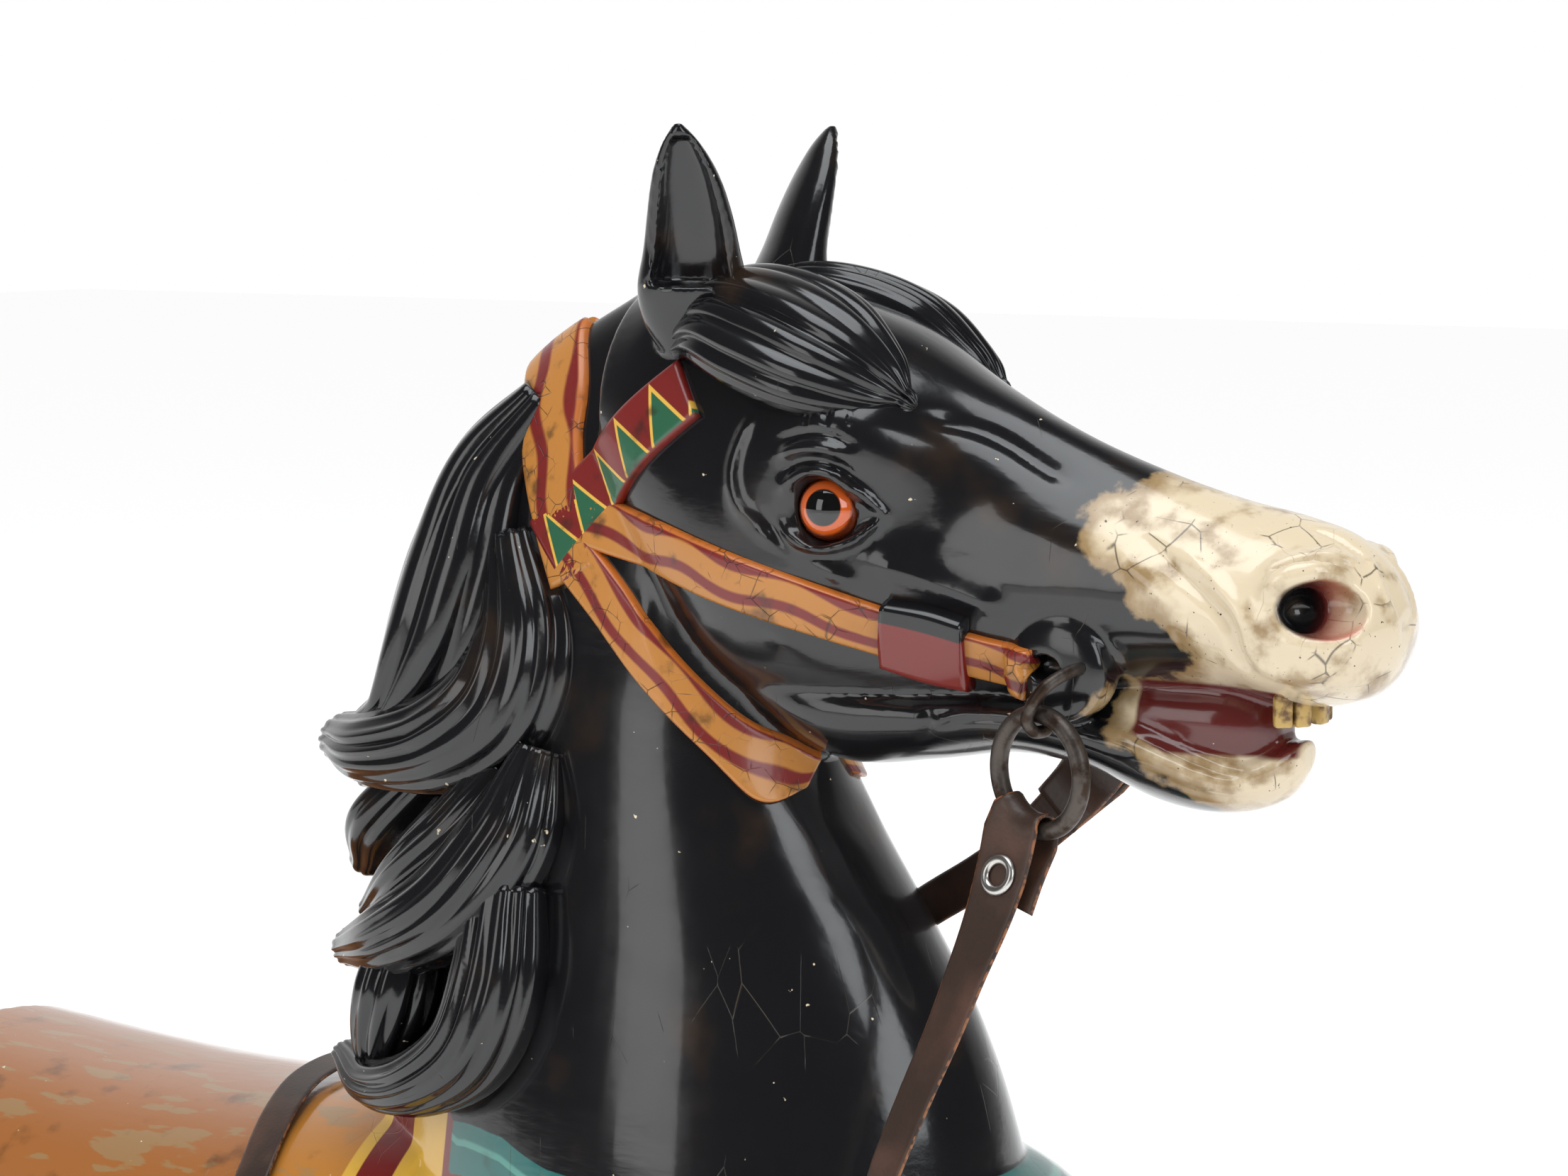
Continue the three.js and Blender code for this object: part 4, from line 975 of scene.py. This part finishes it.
class Paint:
    def __init__(self, name, colour=(0.5, 0.5, 0.5), rough=0.4, metal=0.0, coat=0.0):
        self.material = bpy.data.materials.new(name)
        self.material.use_nodes = True
        self.tree = self.material.node_tree
        self.shader = self.tree.nodes["Principled BSDF"]
        fixed = {"Base Color": (*colour, 1), "Roughness": rough, "Metallic": metal, "Coat Weight": coat,
                 "Coat Roughness": 0.08}
        for socket, value in fixed.items():
            self.shader.inputs[socket].default_value = value
        self.place = self.node("ShaderNodeTexCoord", out="Object")

    def node(self, kind, settings=None, inputs=None, out=0):
        plain = {key: value.socket if isinstance(value, Value) else value for key, value in (inputs or {}).items()}
        return Value(self, add_node(self.tree, kind, settings, plain).outputs[out])

    def noise(self, size, detail=4.0, stretch=(1, 1, 1)):
        """Runs from 0 to 1 with blotches about size millimetres across."""
        turned = self.node("ShaderNodeMapping", inputs={"Vector": self.place, "Scale": stretch})
        return self.node("ShaderNodeTexNoise", inputs={"Vector": turned, "Scale": 1 / (size * MM), "Detail": detail})

    def cracks(self, size, stretch=(1, 1, 1)):
        """Distance to the nearest crack in a net of cells of about that size."""
        turned = self.node("ShaderNodeMapping", inputs={"Vector": self.place, "Scale": stretch})
        return self.node("ShaderNodeTexVoronoi", {"feature": "DISTANCE_TO_EDGE"},
                         {"Vector": turned, "Scale": 1 / (size * MM)})

    def stored(self, name):
        return self.node("ShaderNodeAttribute", {"attribute_name": name}, out="Fac")

    def axis(self, letter):
        """The place along one axis, in millimetres."""
        return self.node("ShaderNodeSeparateXYZ", inputs={"Vector": self.place}, out=letter) * (1 / MM)

    def mix(self, share, first, second):
        sides = [c if isinstance(c, Value) else (*c, 1) for c in (first, second)]
        return self.node("ShaderNodeMix", {"data_type": "RGBA"}, {0: share, 6: sides[0], 7: sides[1]}, out=2)

    def put(self, **values):
        for name, value in values.items():
            self.tree.links.new(value.socket, self.shader.inputs[name.replace("_", " ")])
        return self

    def bump(self, height, depth):
        relief = {"Height": height, "Strength": 1.0, "Distance": depth * MM}
        self.put(Normal=self.node("ShaderNodeBump", inputs=relief))
        return self


BLACK, BROWN_BLACK, CREAM, TAN = (0.006, 0.006, 0.007), (0.022, 0.013, 0.008), (0.60, 0.50, 0.35), (0.27, 0.18, 0.085)
MAROON, RED, PINK = (0.09, 0.012, 0.010), (0.16, 0.012, 0.008), (0.5, 0.16, 0.12)
TEAL, PALE_TEAL, OCHRE = (0.02, 0.12, 0.11), (0.08, 0.26, 0.22), (0.42, 0.17, 0.03)
YELLOW, ORANGE, DARK_RED = (0.62, 0.36, 0.05), (0.46, 0.13, 0.02), (0.16, 0.012, 0.01)
SEAT_BROWN, DARK_GREEN = (0.30, 0.11, 0.03), (0.02, 0.1, 0.05)


def black_enamel(paint):
    wear = paint.noise(60)
    return paint.mix(wear.step(0.55, 0.75), BLACK, BROWN_BLACK)


def enamel_surface(paint):
    crack = 1 - paint.cracks(26, (1, 1, 0.35)).step(0.0, 0.008)
    shown = crack * paint.noise(70).step(0.56, 0.7)
    brush = paint.noise(9, 3.0, (0.25, 1, 1))
    paint.bump(brush * 0.35 - shown * 0.5, 0.5)
    paint.put(Roughness=paint.noise(25) * 0.14 + 0.1)
    return shown


# %% [markdown]
# ## The horse's colours
# On the real horse one painter laid the black first, and the trimmings over it with a smaller brush. The
# paint is built the same way here: each colour is mixed over the last wherever its stored distance says so.

# %% Saddle and collar
SADDLE_BANDS = ((52, DARK_RED), (46, YELLOW), (12, DARK_RED), (-14, YELLOW), (-24, OCHRE), (-98, SEAT_BROWN))


def collar_colours(paint, collar, across):
    """The collar's teal with its lines, then the saddle's bands from the collar backwards."""
    trim = paint.mix(collar.step(8, 10), TEAL, PALE_TEAL)
    trim = paint.mix(collar.step(12, 13), trim, TEAL)
    trim = paint.mix(collar.band(28, 33), trim, DARK_RED)
    trim = paint.mix(collar.step(33, 34), trim, OCHRE)
    for start, band in SADDLE_BANDS:
        trim = paint.mix(1 - across.step(start - 0.7, start + 0.7), trim, band)
    worn = paint.noise(16, 8.0, (0.3, 1, 1)).step(0.56, 0.6) * (1 - across.step(-60, -20))
    trim = paint.mix(worn * 0.7, trim, TAN)
    return paint.mix(paint.noise(30).step(0.55, 0.75) * 0.6, trim, BROWN_BLACK)


# %% Muzzle and nostrils
def muzzle_colours(paint, edge):
    """Cream that gets dirtier towards its border, with specks and the outlines of flakes."""
    cream = paint.mix(paint.noise(22, 6.0).step(0.48, 0.68), CREAM, TAN)
    cream = paint.mix(1 - edge.step(2, 16), cream, TAN)
    cream = paint.mix(paint.noise(2.5).step(0.68, 0.74), cream, BROWN_BLACK)
    flake = (1 - paint.cracks(20).step(0.0, 0.03)) * paint.noise(30).step(0.52, 0.6)
    return paint.mix(flake * 0.8, cream, BROWN_BLACK)


def nostril_paint_and_painted_shade(paint, across):
    nose = paint.mix(across.step(520, 546), RED, PINK)
    # the black towards the back of the nostril hollow is painted shade; the red and pink are the nostril's paint
    return paint.mix(1 - across.step(516, 536), nose, BLACK)


# %% Horse, mane and forelock
body_paint = Paint("painted horse", rough=0.2, coat=0.5)
p = body_paint
colour = black_enamel(p)
crack = enamel_surface(p)
collar, across = p.stored("collar") + (p.noise(40) - 0.5) * 3, p.axis("X")
trim = collar_colours(p, collar, across)
colour = p.mix(collar.step(-0.4, 0.4), colour, trim)
edge = p.stored("muzzle") + (p.noise(14, 6.0) - 0.5) * 22
cream = muzzle_colours(p, edge)
colour = p.mix(edge.step(-1.5, 2.5), colour, cream)
colour = p.mix(p.stored("mouth").step(0, 3), colour, MAROON)
# inside the nostrils: red and pink paint, with black painted shade deep in the hollow
inside = p.stored("nostril").step(0, 2.5)
colour = p.mix(inside, colour, nostril_paint_and_painted_shade(p, across))
colour = p.mix(crack * 0.15, colour, TAN)
colour = p.mix(p.noise(7, 8.0).step(0.735, 0.75), colour, CREAM)
p.put(Base_Color=colour)

hair_paint = Paint("black hair", rough=0.2, coat=0.5)
colour = hair_paint.mix(enamel_surface(hair_paint) * 0.1, black_enamel(hair_paint), TAN)
colour = hair_paint.mix(hair_paint.noise(8, 8.0).step(0.72, 0.74), colour, CREAM)
hair_paint.put(Base_Color=colour)

# %% [markdown]
# ## Bridle, teeth and the fixed things
# The bridle is ochre with dark red streaks painted along it. The browband is dark red with green
# triangles. Both follow the bands through the numbers stored when they were laid on the skin.

# %% Bridle paints


def streaked(name, base, streak, rim):
    paint = Paint(name, rough=0.32, coat=0.3)
    along, across = paint.stored("along"), paint.stored("across")
    wave = (along * 0.09 + paint.noise(50)).math("SINE")
    stripe = (across * 5.5 + wave * 0.9).math("SINE")
    colour = paint.mix(stripe.step(0.15, 0.75), base, streak)
    colour = paint.mix(across.math("ABSOLUTE").step(0.86, 0.92), colour, rim)
    colour = paint.mix(paint.noise(18, 6.0).step(0.55, 0.72) * 0.7, colour, BROWN_BLACK)
    crack = 1 - paint.cracks(12, (1, 1, 1)).step(0.0, 0.03)
    shown = crack * paint.noise(25).step(0.45, 0.6)
    paint.put(Base_Color=paint.mix(shown * 0.7, colour, BROWN_BLACK))
    return paint.bump(paint.noise(5) * 0.3 - shown, 0.4)


def triangles(name):
    paint = Paint(name, rough=0.3, coat=0.3)
    along, across = paint.stored("along"), paint.stored("across")
    saw = (along * (1 / 26)).math("FRACT")
    height = across * 0.5 + 0.5 - (saw - 0.5).math("ABSOLUTE") * 1.9
    colour = paint.mix((0 - height).step(-0.1, -0.06), YELLOW, DARK_RED)
    colour = paint.mix(height.step(0.2, 0.23), colour, DARK_GREEN)
    colour = paint.mix(across.math("ABSOLUTE").step(0.86, 0.92), colour, RED)
    colour = paint.mix(paint.noise(18, 6.0).step(0.55, 0.72) * 0.7, colour, BROWN_BLACK)
    paint.put(Base_Color=colour)
    return paint.bump(paint.noise(5), 0.15)


strap_paint = streaked("streaked strap", OCHRE, DARK_RED, ORANGE)
browband_paint = triangles("browband triangles")
buckle_paint = Paint("buckle block", rough=0.2, coat=0.5)
top_face = buckle_paint.stored("across").step(-0.5, -0.44)
buckle_paint.put(Base_Color=buckle_paint.mix(top_face, BLACK, RED))
teeth_paint = Paint("old teeth", rough=0.4)
stain = teeth_paint.noise(6, 6.0).step(0.4, 0.65)
teeth_paint.put(Base_Color=teeth_paint.mix(stain, (0.45, 0.30, 0.09), (0.12, 0.06, 0.02)))
print("bridle paints:", strap_paint.material.name, "/", browband_paint.material.name, "/", buckle_paint.material.name)

# %% [markdown]
# ## Glass, iron and leather
# The glass is a smooth gloss ball whose colour depends only on the distance from its line of sight. The
# iron is rough and mottled with old rust, the nickel is bright, and the leather is dull and torn at its
# edges, where the raw fibre shows.

# %% Glass, iron, leather and eyelets
PUPIL, RING_OF_COLOUR = 9.5, 14.5


def eye_paint(name, side):
    paint = Paint(name, rough=0.04, coat=1.0)
    look = unit([0.2, side, 0.12])
    middle = EYE_AT * (1, side, 1) * MM
    away = paint.node("ShaderNodeVectorMath", {"operation": "SUBTRACT"}, {0: paint.place, 1: middle})
    depth = paint.node("ShaderNodeVectorMath", {"operation": "DOT_PRODUCT"}, {0: away, 1: look}, "Value") * (1 / MM)
    off = (EYE_RADIUS ** 2 - depth * depth).math("MAXIMUM", 0.0).math("SQRT")
    colour = paint.mix(off.step(PUPIL - 0.5, PUPIL + 0.5), (0.002, 0.002, 0.002), (0.55, 0.09, 0.01))
    colour = paint.mix(off.step(RING_OF_COLOUR - 1.5, RING_OF_COLOUR), colour, (0.12, 0.02, 0.005))
    return paint.put(Base_Color=colour)


iron_paint = Paint("old iron", rough=0.42, metal=0.85)
rust = iron_paint.noise(9, 8.0).step(0.45, 0.62)
iron_paint.put(Base_Color=iron_paint.mix(rust, (0.10, 0.085, 0.075), (0.045, 0.028, 0.02)))
iron_paint.bump(iron_paint.noise(3, 6.0), 0.3)
nickel_paint = Paint("worn nickel", (0.62, 0.6, 0.57), 0.28, 1.0)
leather_paint = Paint("rein leather", rough=0.45, coat=0.1)
grain = leather_paint.noise(2.2, 5.0)
leather = leather_paint.mix(leather_paint.noise(40).step(0.4, 0.7), (0.035, 0.018, 0.012), (0.075, 0.035, 0.022))
edge = leather_paint.stored("across").math("ABSOLUTE").step(0.93, 0.98)
torn = edge * leather_paint.noise(5, 6.0).step(0.45, 0.55)
leather_paint.put(Base_Color=leather_paint.mix(torn, leather, (0.24, 0.09, 0.03))).bump(grain, 0.2)

# %% [markdown]
# ## Dressing the pieces
# Every carved piece stands for the one wooden solid, so together they replace it. The rest replace their
# own solids one by one.


# %% Each piece gets its paint and hides the solid it stands for
dressed = []


def dress(piece, paint, slot, *solids):
    piece.data.materials.clear()
    piece.data.materials.append(paint.material)
    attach(piece, "root")
    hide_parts(*solids)
    dressed.append(piece.name)


dress(horse, body_paint, "painted_carving", "horse")
dress(mane, hair_paint, "painted_carving", "horse")
dress(forelock, hair_paint, "painted_carving", "horse")
for name, piece in bridle.items():
    paint = {"browband": browband_paint, "buckle_block": buckle_paint}.get(name, strap_paint)
    dress(piece, paint, "painted_carving", "horse")
dress(teeth, teeth_paint, "painted_carving", "horse")
for name, side in (("right", -1), ("left", 1)):
    dress(eyes[name], eye_paint("glass eye " + name, side), "eye_glass", "eye_" + name)
    dress(rings[name], iron_paint, "iron", "rein_ring_" + name)
    dress(hooks[name], iron_paint, "iron", "bit_hook_" + name)
    dress(eyelets[name], nickel_paint, "eyelet_metal", "rein_eyelet_" + name)
dress(rein, leather_paint, "rein_leather", "rein")
print("dressed", len(dressed), "pieces:", dressed)
